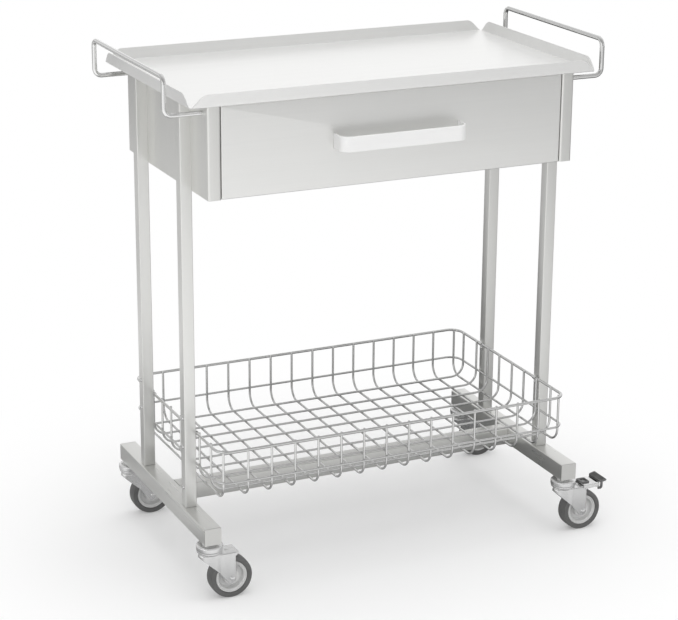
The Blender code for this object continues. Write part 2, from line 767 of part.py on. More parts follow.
def fork_shapes():
    """The pressed fork's shapes: its head's dish, top plate, rounded hood and two cheeks."""
    half = FORK_WIDTH / 2
    low = RACE_TOP + RACE_HEIGHT
    head_top = -low + FORK_SHEET - RUNNING
    head = [
        (0, head_top),
        (HEAD_RADIUS, head_top),
        (HEAD_RADIUS, -low - 2 * RUNNING),
        (HEAD_FLANGE_RADIUS, -low - 2 * RUNNING),
        (HEAD_FLANGE_RADIUS, -low - HEAD_FLANGE_HEIGHT),
        (HEAD_FOOT_RADIUS, -FORK_TOP - FORK_SHEET / 2),
        (0, -FORK_TOP - FORK_SHEET / 2),
    ]
    top = plate_mesh("fork_top", [nose_outline(CHEEK_REAR, half)], FORK_SHEET)
    top.transform(Matrix.Translation((0, 0, -FORK_TOP - FORK_SHEET / 2)))

    outer = hood_outline(half - HOOD_INSET, 0)
    inner = hood_outline(half - HOOD_INSET, HOOD_SHEET)
    hood_depth = HOOD_DROP + FORK_SHEET
    hood = plate_mesh("fork_hood", [outer + inner[::-1]], hood_depth)
    hood.transform(Matrix.Translation((0, 0, -FORK_TOP - FORK_SHEET / 2 - hood_depth / 2)))

    outline = [(CHEEK_FRONT, -FORK_TOP - FORK_SHEET / 3), (CHEEK_FRONT, -FORK_TOP - HOOD_DROP)]
    tip_x, tip_z = CHEEK_NECK - CHEEK_TIP_RADIUS, AXLE_Z - CHEEK_TIP_DROP
    for k in range(NOSE_STEPS + 1):
        angle = CHEEK_TIP_TURN * (k / NOSE_STEPS - 1)
        x, z = CHEEK_TIP_RADIUS * math.cos(angle), CHEEK_TIP_RADIUS * math.sin(angle)
        outline.append((tip_x + x, tip_z + z))
    outline += [(CHEEK_NECK, -FORK_TOP - CHEEK_STEP), (CHEEK_REAR, -FORK_TOP - FORK_SHEET / 3)]
    cheeks = []
    for side, label in ((-1, "front"), (1, "rear")):
        cheek = plate_mesh(f"fork_{label}_cheek", [outline], FORK_SHEET)
        beside = Matrix.Translation((0, side * (half - FORK_SHEET / 2), 0))
        cheek.transform(beside @ Matrix.Rotation(math.pi / 2, 4, "X"))
        cheeks.append(cheek)
    return turned_mesh("fork_head", head), [top, hood, *cheeks]


def joined_mesh(name, meshes, cutter_meshes):
    """The union of meshes, less the cutters, as one mesh."""
    pieces = new_collection(name + "_pieces")
    pieces.hide_render = True
    for mesh in meshes[1:]:
        pieces.objects.link(bpy.data.objects.new(mesh.name, mesh))
    holder = bpy.data.objects.new(name, meshes[0])
    bpy.context.scene.collection.objects.link(holder)
    boolean(holder, pieces, "UNION")
    tools = [bpy.data.objects.new(mesh.name, mesh) for mesh in cutter_meshes]
    for tool in tools:
        bpy.context.scene.collection.objects.link(tool)
        boolean(holder, tool)
    graph = bpy.context.evaluated_depsgraph_get()
    joined = bpy.data.meshes.new_from_object(holder.evaluated_get(graph))
    for obj in [holder, *tools, *pieces.objects]:
        bpy.data.objects.remove(obj)
    bpy.data.collections.remove(pieces)
    joined.name = name
    return joined


def fork_mesh():
    """The fork, with the slanted lower edge of its hood cut off and its axle holes drilled."""
    head, shapes = fork_shapes()
    nose, front = -HOOD_NOSE - FORK_SHEET, CHEEK_FRONT + GAP
    start, end = -FORK_TOP - FORK_SHEET, -FORK_TOP - HOOD_DROP
    below = -CASTER_HEIGHT
    under = [(nose, start), (nose, below), (front, below), (front, end)]
    slope = plate_mesh("hood_slope", [under], 2 * FORK_WIDTH)
    slope.transform(Matrix.Rotation(math.pi / 2, 4, "X"))
    hole = cylinder_mesh("axle_hole", AXLE_DIAMETER / 2 + GAP / 2, 2 * FORK_WIDTH, SMALL_ROUND_STEPS)
    hole.transform(Matrix.Translation((TRAIL, 0, AXLE_Z)) @ Matrix.Rotation(math.pi / 2, 4, "X"))
    top, hood, *cheeks = shapes
    hood = joined_mesh("fork_cut_hood", [hood], [slope])
    return joined_mesh("caster_fork", [head, top, hood, *cheeks], [hole])


def bolt_mesh(name, grip, diameter, head, head_height):
    """A bolt along Z through a grip, with a domed head at each end, so one is its nut or riveted end."""
    dome = [(0, grip / 2 + head_height)]
    for angle in (50, 0):
        turn = math.radians(angle)
        dome.append((head * math.cos(turn), grip / 2 + head_height * math.sin(turn)))
    upper = dome + [(diameter / 2, grip / 2)]
    lower = [(r, -h) for r, h in reversed(upper)]
    return turned_mesh(name, upper + lower, SMALL_ROUND_STEPS)


def hub_mesh():
    """The wheel's centre: a boss on the axle, a thin web, and a rim under the tyre."""
    bore = AXLE_DIAMETER / 2 + RUNNING
    half, web = HUB_WIDTH / 2, HUB_WEB / 2
    rim = HUB_RADIUS - HUB_RIM
    upper = [
        (bore, half),
        (HUB_BOSS_RADIUS, half),
        (HUB_BOSS_RADIUS + HUB_RIM / 2, web),
        (rim - HUB_RIM / 4, web),
        (rim, half),
        (HUB_RADIUS, half),
    ]
    lower = [(r, -h) for r, h in reversed(upper)]
    return turned_mesh("caster_hub", upper + lower, closed=True)


def tyre_mesh():
    inner = HUB_RADIUS + GAP
    half = TYRE_WIDTH / 2
    shoulder = WHEEL_RADIUS - TYRE_SHOULDER
    upper = [
        (inner, half - GAP),
        (shoulder, half),
        (WHEEL_RADIUS - TYRE_CROWN, half - TYRE_SHOULDER),
    ]
    lower = [(r, -h) for r, h in reversed(upper)]
    return turned_mesh("caster_tyre", upper + [(WHEEL_RADIUS, 0)] + lower, closed=True)


def build_casters():
    wheel_turn = (math.pi / 2, 0, 0)
    meshes = {
        "mount": mount_mesh(),
        "fork": fork_mesh(),
        "axle": bolt_mesh(
            "caster_axle", FORK_WIDTH + 2 * GAP, AXLE_DIAMETER, AXLE_HEAD_RADIUS, AXLE_HEAD_HEIGHT
        ),
        "hub": hub_mesh(),
        "tyre": tyre_mesh(),
    }
    corners = {
        "front_left": (-1, -1),
        "front_right": (1, -1),
        "rear_left": (-1, 1),
        "rear_right": (1, 1),
    }
    for corner, (side, end) in corners.items():
        swivel = new_empty(f"{corner}_swivel_axis", (side * LEG_X, end * CASTER_Y, FOOT_BOTTOM), trolley)
        wheel = new_empty(f"{corner}_wheel_axis", (TRAIL, 0, AXLE_Z), swivel)
        add_piece(f"{corner}_caster_mount", meshes["mount"], zinc, swivel)
        fork = add_piece(f"{corner}_fork", meshes["fork"], zinc, swivel)
        add_piece(f"{corner}_axle", meshes["axle"], zinc, wheel, rotation=wheel_turn)
        add_piece(f"{corner}_hub", meshes["hub"], hub_plastic, wheel, rotation=wheel_turn)
        add_piece(f"{corner}_tyre", meshes["tyre"], tyre_rubber, wheel, rotation=wheel_turn)
        if corner == "front_right":
            build_brake(swivel, fork)


def build_brake(swivel, fork):
    """The lever rocks on a pin through the fork's cheeks. The pedal hooks over its end, the tab lies on it."""
    axis = new_empty("brake_axis", (BRAKE_PIN_X, 0, -FORK_TOP - BRAKE_PIN_DROP), swivel)
    across = (math.pi / 2, 0, 0)
    inner = FORK_WIDTH / 2 + LEVER_SIDE_GAP
    outer = inner + LEVER_SHEET
    low = BRAKE_PIN_DROP + LEVER_RISE
    top = low + LEVER_SHEET

    outline = [(-outer, top - LEVER_FLANGE), (-outer, top), (outer, top), (outer, top - LEVER_FLANGE)]
    outline += [(inner, top - LEVER_FLANGE), (inner, low), (-inner, low), (-inner, top - LEVER_FLANGE)]
    channel = plate_mesh("lever_channel", [outline], LEVER_END - LEVER_START)
    stand = Matrix.Rotation(math.pi / 2, 4, "Z") @ Matrix.Rotation(math.pi / 2, 4, "X")
    channel.transform(Matrix.Translation(((LEVER_START + LEVER_END) / 2 - BRAKE_PIN_X, 0, 0)) @ stand)

    pedal_x = PEDAL_START - BRAKE_PIN_X
    run, rise = math.cos(PEDAL_TILT), math.sin(PEDAL_TILT)
    end = (pedal_x + TONGUE_LENGTH * run, low + TONGUE_LENGTH * rise)
    route = [(pedal_x - 2 * LEVER_SHEET, low), (pedal_x, low), end]
    route += [(x, z + LEVER_SHEET) for x, z in reversed(route)]
    tongue = plate_mesh("lever_tongue", [route], TONGUE_WIDTH)
    tongue.transform(Matrix.Rotation(math.pi / 2, 4, "X"))
    lever = add_piece("brake_lever", joined_mesh("brake_lever", [channel, tongue], []), zinc, axis)

    hole = cylinder_mesh("brake_pin_hole", BRAKE_PIN_DIAMETER / 2 + RUNNING, 2 * FORK_WIDTH)
    cutter = add_cutter("brake_pin_hole", hole, axis, rotation=across)
    boolean(lever, cutter)
    boolean(fork, cutter)
    grip = 2 * (outer + GAP)
    pin = bolt_mesh("brake_pin", grip, BRAKE_PIN_DIAMETER, BRAKE_PIN_HEAD_RADIUS, BRAKE_PIN_HEAD_HEIGHT)
    add_piece("brake_pin", pin, zinc, axis, rotation=across)

    seat = top + GAP
    pad = box_mesh("brake_pedal", (0, -PEDAL_WIDTH / 2, 0), (PEDAL_LENGTH, PEDAL_WIDTH / 2, PEDAL_THICKNESS))
    pad.transform(Matrix.Translation((pedal_x, 0, seat)) @ Matrix.Rotation(-PEDAL_TILT, 4, "Y"))
    hooks = []
    for side in (-1, 1):
        out = (pedal_x + PEDAL_HOOK_SHEET, seat + PEDAL_THICKNESS / 2)
        bottom = seat - PEDAL_HOOK_DROP
        hook_outline = [
            (pedal_x, out[1]),
            (pedal_x, bottom + PEDAL_HOOK_SHEET),
            (pedal_x - PEDAL_HOOK_REACH, bottom + PEDAL_HOOK_SHEET),
            (pedal_x - PEDAL_HOOK_REACH, bottom),
            (out[0], bottom),
            out,
        ]
        width = PEDAL_WIDTH / 2 - outer - GAP
        hook = plate_mesh("pedal_hook", [hook_outline], width)
        beside = Matrix.Translation((0, side * (PEDAL_WIDTH - width) / 2, 0))
        hook.transform(beside @ Matrix.Rotation(math.pi / 2, 4, "X"))
        hooks.append(hook)
    add_piece("brake_pedal", joined_mesh("brake_pedal", [pad, *hooks], []), pedal_plastic, axis)

    start = TAB_START - BRAKE_PIN_X
    tab = box_mesh(
        "brake_tab", (start, -TAB_WIDTH / 2, seat), (start + TAB_LENGTH, TAB_WIDTH / 2, seat + TAB_THICKNESS)
    )
    tab_piece = add_piece("brake_tab", tab, pedal_plastic, axis)
    bevel(tab_piece, TAB_THICKNESS / 4)


# Build

clear_scene()
parts = new_collection("ward_trolley")
cutters = new_collection("cutters")

steel = new_material("brushed_steel", (0.62, 0.62, 0.59), 0.34, 1.0)
front_steel = new_material("drawer_steel", (0.64, 0.64, 0.62), 0.36, 1.0)
bright_steel = new_material("polished_steel", (0.72, 0.72, 0.71), 0.2, 1.0)
wire_steel = new_material("wire_steel", (0.6, 0.6, 0.58), 0.25, 1.0)
pull_finish = new_material("pull_finish", (0.86, 0.86, 0.85), 0.35, 0.2)
slide_zinc = new_material("slide_zinc", (0.6, 0.61, 0.62), 0.4, 1.0)
zinc = new_material("caster_zinc", (0.75, 0.76, 0.77), 0.28, 1.0)
hub_plastic = new_material("hub_plastic", (0.55, 0.55, 0.55), 0.5, 0.0)
tyre_rubber = new_material("tyre_rubber", (0.13, 0.13, 0.13), 0.7, 0.0)
pedal_plastic = new_material("pedal_plastic", (0.1, 0.1, 0.1), 0.55, 0.0)

centre = ((REACH_LEFT - REACH_RIGHT) / 2, (REACH_FRONT - REACH_BACK) / 2, 0)
trolley = new_empty("trolley", centre)

build_worktop()
build_side_panel("left_side_panel", -1)
build_side_panel("right_side_panel", 1)
build_back_panel()
build_handle("left_handle", -1)
build_handle("right_handle", 1)
for leg_end, leg_label in ((-1, "front"), (1, "rear")):
    build_leg(f"left_{leg_label}_leg", -1, leg_end)
    build_leg(f"right_{leg_label}_leg", 1, leg_end)
    build_clip(f"left_{leg_label}_clip", -1, leg_end)
    build_clip(f"right_{leg_label}_clip", 1, leg_end)
build_foot("left_foot", -1)
build_foot("right_foot", 1)
build_cross_beam()
build_basket()
build_drawer()
build_casters()
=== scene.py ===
import math

import bmesh
import bpy
import numpy as np
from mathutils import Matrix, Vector


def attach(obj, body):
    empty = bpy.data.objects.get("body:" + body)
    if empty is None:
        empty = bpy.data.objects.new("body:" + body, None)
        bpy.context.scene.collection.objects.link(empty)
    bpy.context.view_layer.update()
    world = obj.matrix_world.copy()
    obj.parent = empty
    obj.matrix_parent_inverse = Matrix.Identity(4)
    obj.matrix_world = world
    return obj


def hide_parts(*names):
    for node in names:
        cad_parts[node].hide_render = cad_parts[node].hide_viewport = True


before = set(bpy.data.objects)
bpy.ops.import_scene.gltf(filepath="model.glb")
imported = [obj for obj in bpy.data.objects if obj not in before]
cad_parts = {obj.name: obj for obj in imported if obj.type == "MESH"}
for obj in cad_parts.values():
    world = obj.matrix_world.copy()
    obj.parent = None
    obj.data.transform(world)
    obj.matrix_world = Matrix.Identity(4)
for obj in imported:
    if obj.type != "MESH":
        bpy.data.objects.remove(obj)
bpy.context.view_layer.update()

print("frame loaded:", len(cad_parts), "nodes")

# The trolley's own middle, seen from the frame's origin
middle = np.array([-0.0096269, 0.00315, 0.0])
sides = ((-1, "left"), (1, "right"))
ends = ((-1, "front"), (1, "rear"))
sheetEdge = 0.0002

camera = {
    "place": (-1.51962, -3.18321, 1.57401),
    "turn": (1.2518594, -0.0064229, -0.4363033),
    "lens": 110.784,
    "sensor": 36.0,
}


def setCamera(c):
    data = bpy.data.cameras.new("photoCamera")
    data.lens = c["lens"]
    data.sensor_width = c["sensor"]
    data.sensor_fit = "HORIZONTAL"
    holder = bpy.data.objects.new("photoCamera", data)
    holder.location = c["place"]
    holder.rotation_euler = c["turn"]
    bpy.context.scene.collection.objects.link(holder)
    bpy.context.scene.camera = holder


setCamera(camera)
print("camera set")


# Shells. A shell is its points and a list of face groups, each group an array of faces with equally many corners


def unit(vectors):
    return vectors / np.linalg.norm(vectors, axis=-1, keepdims=True)


def roundedRoute(corners, radius, steps, closed=False):
    # A polyline whose corners give way to arcs: arc(t) = centre + radius times the arm turned from first to last
    p = np.asarray(corners, float)
    inner = slice(None) if closed else slice(1, -1)
    before = unit(np.roll(p, 1, 0) - p)[inner]
    after = unit(np.roll(p, -1, 0) - p)[inner]
    corner = p[inner]
    r = np.broadcast_to(np.asarray(radius, float), (len(corner),))[:, None]
    half = np.arccos(np.clip((before * after).sum(1, keepdims=True), -1, 1)) / 2
    centre = corner + unit(before + after) * r / np.sin(half)
    first = (corner + before * r / np.tan(half) - centre) / r
    last = (corner + after * r / np.tan(half) - centre) / r
    turn = (math.pi - 2 * half)[:, None]
    t = np.linspace(0, 1, steps + 1)[None, :, None]
    arm = (np.sin((1 - t) * turn) * first[:, None] + np.sin(t * turn) * last[:, None]) / np.sin(turn)
    arcs = (centre[:, None] + r[:, None] * arm).reshape(-1, p.shape[1])
    return arcs if closed else np.vstack([p[:1], arcs, p[-1:]])


def circle(radius, steps):
    # Points at equal angles, radius times (cosine, sine)
    a = np.arange(steps) * 2 * math.pi / steps
    return radius * np.stack([np.cos(a), np.sin(a)], 1)


def roundedSquare(width, height, corner, steps=5):
    x, y = width / 2, height / 2
    return roundedRoute([(-x, -y), (x, -y), (x, y), (-x, y)], corner, steps, closed=True)


def arc(centre, radius, start, end, steps):
    # centre + radius times (cosine, sine), from the start angle to the end angle in degrees
    a = np.radians(np.linspace(start, end, steps + 1))
    return np.asarray(centre) + np.stack([np.cos(a), np.sin(a)], 1) * np.asarray(radius)


def surface(grid, wrapRows=False, wrapColumns=False, caps=False):
    # Quads between neighbouring grid points, whose index is row times columns plus column. Caps close both ends
    rows, columns = grid.shape[:2]
    r = np.arange(rows if wrapRows else rows - 1)[:, None]
    c = np.arange(columns if wrapColumns else columns - 1)[None, :]
    r2, c2 = (r + 1) % rows, (c + 1) % columns
    groups = [np.stack([r * columns + c, r * columns + c2, r2 * columns + c2, r2 * columns + c], -1).reshape(-1, 4)]
    if caps:
        first = np.arange(columns)
        groups.append(np.stack([first[::-1], first + (rows - 1) * columns]))
    return grid.reshape(-1, 3), groups


def atHeight(ring, height):
    return np.column_stack([ring, np.full(len(ring), height)])


def carried(profile, path, closedPath=False, reference=(0.31, 0.47, 0.83), caps=True):
    # point(i, j) = path(i) + profile x(j) times sideways(i) + profile y(j) times upwards(i)
    path = np.asarray(path, float)
    steps = np.roll(path, -1, 0) - path
    if closedPath:
        tangent = unit(unit(steps) + unit(np.roll(steps, 1, 0)))
    else:
        steps = unit(steps[:-1])
        tangent = unit(np.vstack([steps[:1], steps[:-1] + steps[1:], steps[-1:]]))
    sideways = unit(np.cross(tangent, np.asarray(reference, float)))
    upwards = np.cross(sideways, tangent)
    grid = path[:, None] + profile[None, :, :1] * sideways[:, None] + profile[None, :, 1:] * upwards[:, None]
    return surface(grid, wrapRows=closedPath, wrapColumns=True, caps=caps and not closedPath)


def rod(path, radius, sides=16, closedPath=False, endRound=0.0):
    # A circle carried along a path. Rounded ends add rows whose radius shrinks as a cosine
    path = np.asarray(path, float)
    scale = np.ones(len(path))
    if endRound:
        t = np.array([1.0, 0.7, 0.35])
        first, last = unit(path[0] - path[1]), unit(path[-1] - path[-2])
        nose = np.sin(t * math.pi / 2)[:, None] * endRound
        base, tip = path[0] - first * endRound, path[-1] - last * endRound
        path = np.vstack([base + first * nose, base, path[1:-1], tip, (tip + last * nose)[::-1]])
        drop = endRound * (1 - np.cos(t * math.pi / 2)) / radius
        scale = np.concatenate([1 - drop, np.ones(len(path) - 6), (1 - drop)[::-1]])
    points, faces = carried(circle(radius, sides), path, closedPath)
    points = points.reshape(len(path), sides, 3)
    points = path[:, None] + (points - path[:, None]) * scale[:, None, None]
    return points.reshape(-1, 3), faces


def turned(profile, steps=48):
    # point(i, j) = (radius(i) cos angle(j), radius(i) sin angle(j), height(i))
    p = np.asarray(profile, float)
    a = np.arange(steps) * 2 * math.pi / steps
    grid = np.stack([
        p[:, :1] * np.cos(a), p[:, :1] * np.sin(a), np.broadcast_to(p[:, 1:], (len(p), steps))
    ], -1)
    closed = np.allclose(p[0], p[-1])
    if closed:
        grid = grid[:-1]
    return surface(grid, wrapRows=closed, wrapColumns=True)


def foldedSheet(route, thickness, low, high, plane, side=1.0, near=0.0):
    # Both skins of a bent sheet, skin = route + its normal times thickness times near or side, drawn out along
    # the third axis
    route = np.asarray(route, float)
    steps = unit(route[1:] - route[:-1])
    mean = unit(np.vstack([steps[:1], steps[:-1] + steps[1:], steps[-1:]]))
    mitre = np.concatenate([[1.0], np.sqrt((1 + (steps[:-1] * steps[1:]).sum(1)) / 2), [1.0]])
    normal = np.stack([-mean[:, 1], mean[:, 0]], 1) / mitre[:, None]
    ring = np.vstack([route + normal * thickness * near, (route + normal * thickness * side)[::-1]])
    count = len(ring)
    third = np.array([[low], [high]]) + np.zeros(count)
    a, b = np.broadcast_arrays(ring[:, 0], third)[0], np.broadcast_arrays(ring[:, 1], third)[0]
    order = {"XY": (a, b, third), "YZ": (third, a, b), "XZ": (a, third, b)}[plane]
    points, faces = surface(np.stack(order, -1), wrapColumns=True)
    i = np.arange(len(route) - 1)
    end = np.stack([i, i + 1, count - 2 - i, count - 1 - i], 1)
    return points, faces + [end, end[:, ::-1] + count]


def plate(outline, low, high, edge, plane="XY", steps=3):
    # A flat plate from a closed outline. Its rings move inwards along the outline's normals by
    # edge times (1 - sine) while they climb by edge times (1 - cosine), so both rims are rounded
    p = np.asarray(outline, float)
    before, after = unit(p - np.roll(p, 1, 0)), unit(np.roll(p, -1, 0) - p)
    mean = unit(before + after)
    mitre = np.sqrt(np.clip((1 + (before * after).sum(1, keepdims=True)) / 2, 0.2, 1))
    area = (p[:, 0] * np.roll(p[:, 1], -1) - p[:, 1] * np.roll(p[:, 0], -1)).sum()
    inwards = np.stack([-mean[:, 1], mean[:, 0]], 1) / mitre * np.sign(area)
    a = np.linspace(0, math.pi / 2, steps + 1)
    inset = np.concatenate([[edge * 1.3], edge * (1 - np.sin(a))])
    climb = np.concatenate([[0.0], edge * (1 - np.cos(a))])
    inset = np.concatenate([inset, inset[::-1]])[:, None, None]
    height = np.concatenate([low + climb, high - climb[::-1]])[:, None, None]
    flat = p[None] + inset * inwards[None]
    height = np.broadcast_to(height, flat[..., :1].shape)
    order = {"XY": (0, 1, 2), "XZ": (0, 2, 1), "YZ": (2, 0, 1)}[plane]
    return surface(np.concatenate([flat, height], -1)[..., order], wrapColumns=True, caps=True)


def squareTube(size, corner, wall, low, high, axis, place=(0, 0, 0)):
    # An outer and an inner rounded square, joined at both ends into one wall
    outer = roundedSquare(size, size, corner, 6)
    inner = roundedSquare(size - 2 * wall, size - 2 * wall, max(corner - wall, 0.0004), 6)
    rings = [(outer, low), (outer, high), (inner, high), (inner, low)]
    points, faces = surface(np.stack([atHeight(*ring) for ring in rings]), wrapRows=True, wrapColumns=True)
    return along(points, axis) + np.asarray(place, float), faces


def along(points, axis):
    # Turns what was made along Z to lie along another axis
    points = np.asarray(points, float)
    if axis == "Y":
        return points[:, [0, 2, 1]] * (1, 1, -1)
    if axis == "X":
        return points[:, [2, 1, 0]] * (1, 1, -1)
    return points


def moved(shell, offset=(0, 0, 0), axis="Z", flip=False):
    points = along(shell[0], axis)
    if flip:
        points = points * {"X": (-1, 1, 1), "Y": (1, -1, 1), "Z": (1, 1, -1)}[axis]
    return points + np.asarray(offset, float), shell[1]


def tilted(shell, angle, pivot):
    # A turn about the Y axis through the pivot: x' = x cos + z sin, z' = z cos - x sin
    p = shell[0] - np.asarray(pivot, float)
    c, s = math.cos(angle), math.sin(angle)
    return np.stack([p[:, 0] * c + p[:, 2] * s, p[:, 1], p[:, 2] * c - p[:, 0] * s], 1) + pivot, shell[1]


def dome(radius, height, steps=6):
    # A cap's profile from its pole down: (radius sin angle, height cos angle)
    a = np.linspace(0, math.pi / 2, steps + 1)
    return np.vstack([np.stack([radius * np.sin(a), height * np.cos(a)], 1), [[0.0, 0.0]]])


def meshFrom(name, shells, offset=(0, 0, 0)):
    points = np.vstack([shell[0] for shell in shells]) + offset
    starts = np.cumsum([0] + [len(shell[0]) for shell in shells])
    groups = [faces + start for shell, start in zip(shells, starts) for faces in shell[1]]
    corners = np.concatenate([faces.ravel() for faces in groups])
    counts = np.concatenate([np.full(len(faces), faces.shape[1]) for faces in groups])
    mesh = bpy.data.meshes.new(name)
    mesh.vertices.add(len(points))
    mesh.loops.add(len(corners))
    mesh.polygons.add(len(counts))
    mesh.vertices.foreach_set("co", points.ravel().astype(np.float32))
    mesh.loops.foreach_set("vertex_index", corners.astype(np.int32))
    mesh.polygons.foreach_set("loop_start", (np.cumsum(counts) - counts).astype(np.int32))
    mesh.update(calc_edges=True)
    return mesh


def faceTowards(mesh, direction):
    # Turns an open sheet over where its area, summed with its normals, looks away from the direction
    normals = np.empty(3 * len(mesh.polygons), np.float32)
    areas = np.empty(len(mesh.polygons), np.float32)
    mesh.polygons.foreach_get("normal", normals)
    mesh.polygons.foreach_get("area", areas)
    if (normals.reshape(-1, 3) * areas[:, None]).sum(0) @ np.asarray(direction, float) < 0:
        mesh.flip_normals()


def addPiece(name, shells, material, body, slot, stands=(), edge=0.0, wall=0.0, facing=None, sharp=38):
    # One object from one or more shells: doubles merged, normals worked out, then its wall and its edges
    mesh = meshFrom(name, shells, middle)
    bm = bmesh.new()
    bm.from_mesh(mesh)
    bmesh.ops.remove_doubles(bm, verts=bm.verts, dist=2e-6)
    bmesh.ops.dissolve_degenerate(bm, edges=bm.edges, dist=1e-7)
    bmesh.ops.recalc_face_normals(bm, faces=bm.faces)
    bm.to_mesh(mesh)
    bm.free()
    if facing is not None:
        faceTowards(mesh, facing)
    mesh.materials.append(material)
    piece = bpy.data.objects.new(name, mesh)
    bpy.context.scene.collection.objects.link(piece)
    mesh.shade_smooth()
    if wall:
        sheet = piece.modifiers.new("wall", "SOLIDIFY")
        sheet.thickness = wall
        sheet.offset = -1
        sheet.use_even_offset = True
    if edge:
        rounding = piece.modifiers.new("edges", "BEVEL")
        rounding.width = edge
        rounding.segments = 2
        rounding.limit_method = "ANGLE"
        rounding.angle_limit = math.radians(sharp)
        rounding.harden_normals = True
    else:
        mesh.set_sharp_from_angle(angle=math.radians(sharp))
        shading = piece.modifiers.new("shading", "WEIGHTED_NORMAL")
        shading.keep_sharp = True
    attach(piece, body)
    if stands:
        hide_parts(*stands)
    return piece


# Materials


def newGroup(name, inputs, outputs):
    group = bpy.data.node_groups.new(name, "ShaderNodeTree")
    for label, kind, value in inputs:
        socket = group.interface.new_socket(label, in_out="INPUT", socket_type=kind)
        if value is not None:
            socket.default_value = value
    for label, kind in outputs:
        group.interface.new_socket(label, in_out="OUTPUT", socket_type=kind)
    start = group.nodes.new("NodeGroupInput")
    end = group.nodes.new("NodeGroupOutput")
    return group, start.outputs, end.inputs


def feed(tree, sockets, values):
    # Links what comes out of another node, and writes a plain value in
    for key, value in values.items():
        if isinstance(value, bpy.types.NodeSocket):
            tree.links.new(value, sockets[key])
        elif value is not None:
            sockets[key].default_value = value


def node(tree, kind, links=None, **settings):
    made = tree.nodes.new(kind)
    for key, value in settings.items():
        setattr(made, key, value)
    feed(tree, made.inputs, links or {})
    return made


def maths(tree, operation, *values):
    made = node(tree, "ShaderNodeMath", dict(enumerate(values)), operation=operation)
    return made.outputs[0]


def makeBrushedGrain():
    # Noise stretched along the brushing: fine lines, and broader streaks that vary along them
    group, given, result = newGroup(
        "brushedGrain",
        [("Position", "NodeSocketVector", None), ("Stretch", "NodeSocketVector", (8, 900, 900)),
         ("Streaks", "NodeSocketFloat", 0.5)],
        [("Tone", "NodeSocketFloat"), ("Height", "NodeSocketFloat")],
    )
    lines = node(group, "ShaderNodeVectorMath", {0: given["Position"], 1: given["Stretch"]}, operation="MULTIPLY")
    lines = lines.outputs[0]
    fine = node(group, "ShaderNodeTexNoise", {"Vector": lines, "Scale": 1.0, "Detail": 4.0, "Roughness": 0.6})
    wide = node(group, "ShaderNodeVectorMath", {0: lines, 1: (0.35, 0.12, 0.12)}, operation="MULTIPLY")
    broad = node(group, "ShaderNodeTexNoise", {"Vector": wide.outputs[0], "Scale": 1.0, "Detail": 2.0})
    blend = node(group, "ShaderNodeMix", {"Factor": given["Streaks"], 2: fine.outputs["Fac"], 3: broad.outputs["Fac"]})
    group.links.new(blend.outputs[0], result["Tone"])
    group.links.new(fine.outputs["Fac"], result["Height"])
    return group


def makeHandling():
    # Cloudy patches where hands and cloths have passed, from 0 where it is clean to 1
    group, given, result = newGroup(
        "handling",
        [("Position", "NodeSocketVector", None), ("Size", "NodeSocketFloat", 9.0), ("Amount", "NodeSocketFloat", 1.0)],
        [("Mask", "NodeSocketFloat")],
    )
    cloud = node(group, "ShaderNodeTexNoise", {
        "Vector": given["Position"], "Scale": given["Size"], "Detail": 5.0, "Roughness": 0.55, "Distortion": 0.4})
    mask = node(group, "ShaderNodeMapRange", {"Value": cloud.outputs["Fac"], "From Min": 0.42, "From Max": 0.72})
    scaled = maths(group, "MULTIPLY", mask.outputs[0], given["Amount"])
    group.links.new(scaled, result["Mask"])
    return group


def makeMouldGrain():
    # The fine pebbled skin of moulded plastic and rubber
    group, given, result = newGroup(
        "mouldGrain",
        [("Position", "NodeSocketVector", None), ("Size", "NodeSocketFloat", 900.0)],
        [("Tone", "NodeSocketFloat"), ("Height", "NodeSocketFloat")],
    )
    pebbles = node(group, "ShaderNodeTexVoronoi", {"Vector": given["Position"], "Scale": given["Size"]})
    cloud = node(group, "ShaderNodeTexNoise", {"Vector": given["Position"], "Scale": 60.0, "Detail": 4.0})
    group.links.new(cloud.outputs["Fac"], result["Tone"])
    group.links.new(pebbles.outputs["Distance"], result["Height"])
    return group


brushedGrain, handling, mouldGrain = makeBrushedGrain(), makeHandling(), makeMouldGrain()


def newMaterial(name, metallic):
    material = bpy.data.materials.new(name)
    material.use_nodes = True
    tree = material.node_tree
    shader = tree.nodes["Principled BSDF"]
    shader.inputs["Metallic"].default_value = metallic
    position = node(tree, "ShaderNodeTexCoord").outputs["Object"]
    return material, tree, shader, position


def place(tree, group, values):
    made = tree.nodes.new("ShaderNodeGroup")
    made.node_tree = group
    feed(tree, made.inputs, values)
    return made.outputs


def dress(tree, shader, grain, light, dark, rough, bump, depth):
    # Colour runs from dark to light with the grain's tone, and its height is the relief
    tone = node(tree, "ShaderNodeMapRange", {"Value": grain["Tone"], "From Min": 0.3, "From Max": 0.7})
    colour = node(tree, "ShaderNodeMix", {"Factor": tone.outputs[0], 6: (*dark, 1), 7: (*light, 1)}, data_type="RGBA")
    relief = node(tree, "ShaderNodeBump", {"Height": grain["Height"], "Strength": bump, "Distance": depth})
    feed(tree, shader.inputs, {"Base Color": colour.outputs[2], "Roughness": rough, "Normal": relief.outputs[0]})


def grainedMetal(name, light, dark, rough, stretch, bump=0.025, streaks=0.5, smudge=0.02, metallic=1.0):
    # Brushed or drawn metal, which handling makes a little duller
    material, tree, shader, position = newMaterial(name, metallic)
    grain = place(tree, brushedGrain, {"Position": position, "Stretch": stretch, "Streaks": streaks})
    touched = place(tree, handling, {"Position": position, "Amount": 1.0})
    lines = maths(tree, "MULTIPLY_ADD", grain["Tone"], 0.06, rough - 0.03)
    dress(tree, shader, grain, light, dark, maths(tree, "MULTIPLY_ADD", touched["Mask"], smudge, lines), bump, 0.0004)
    return material


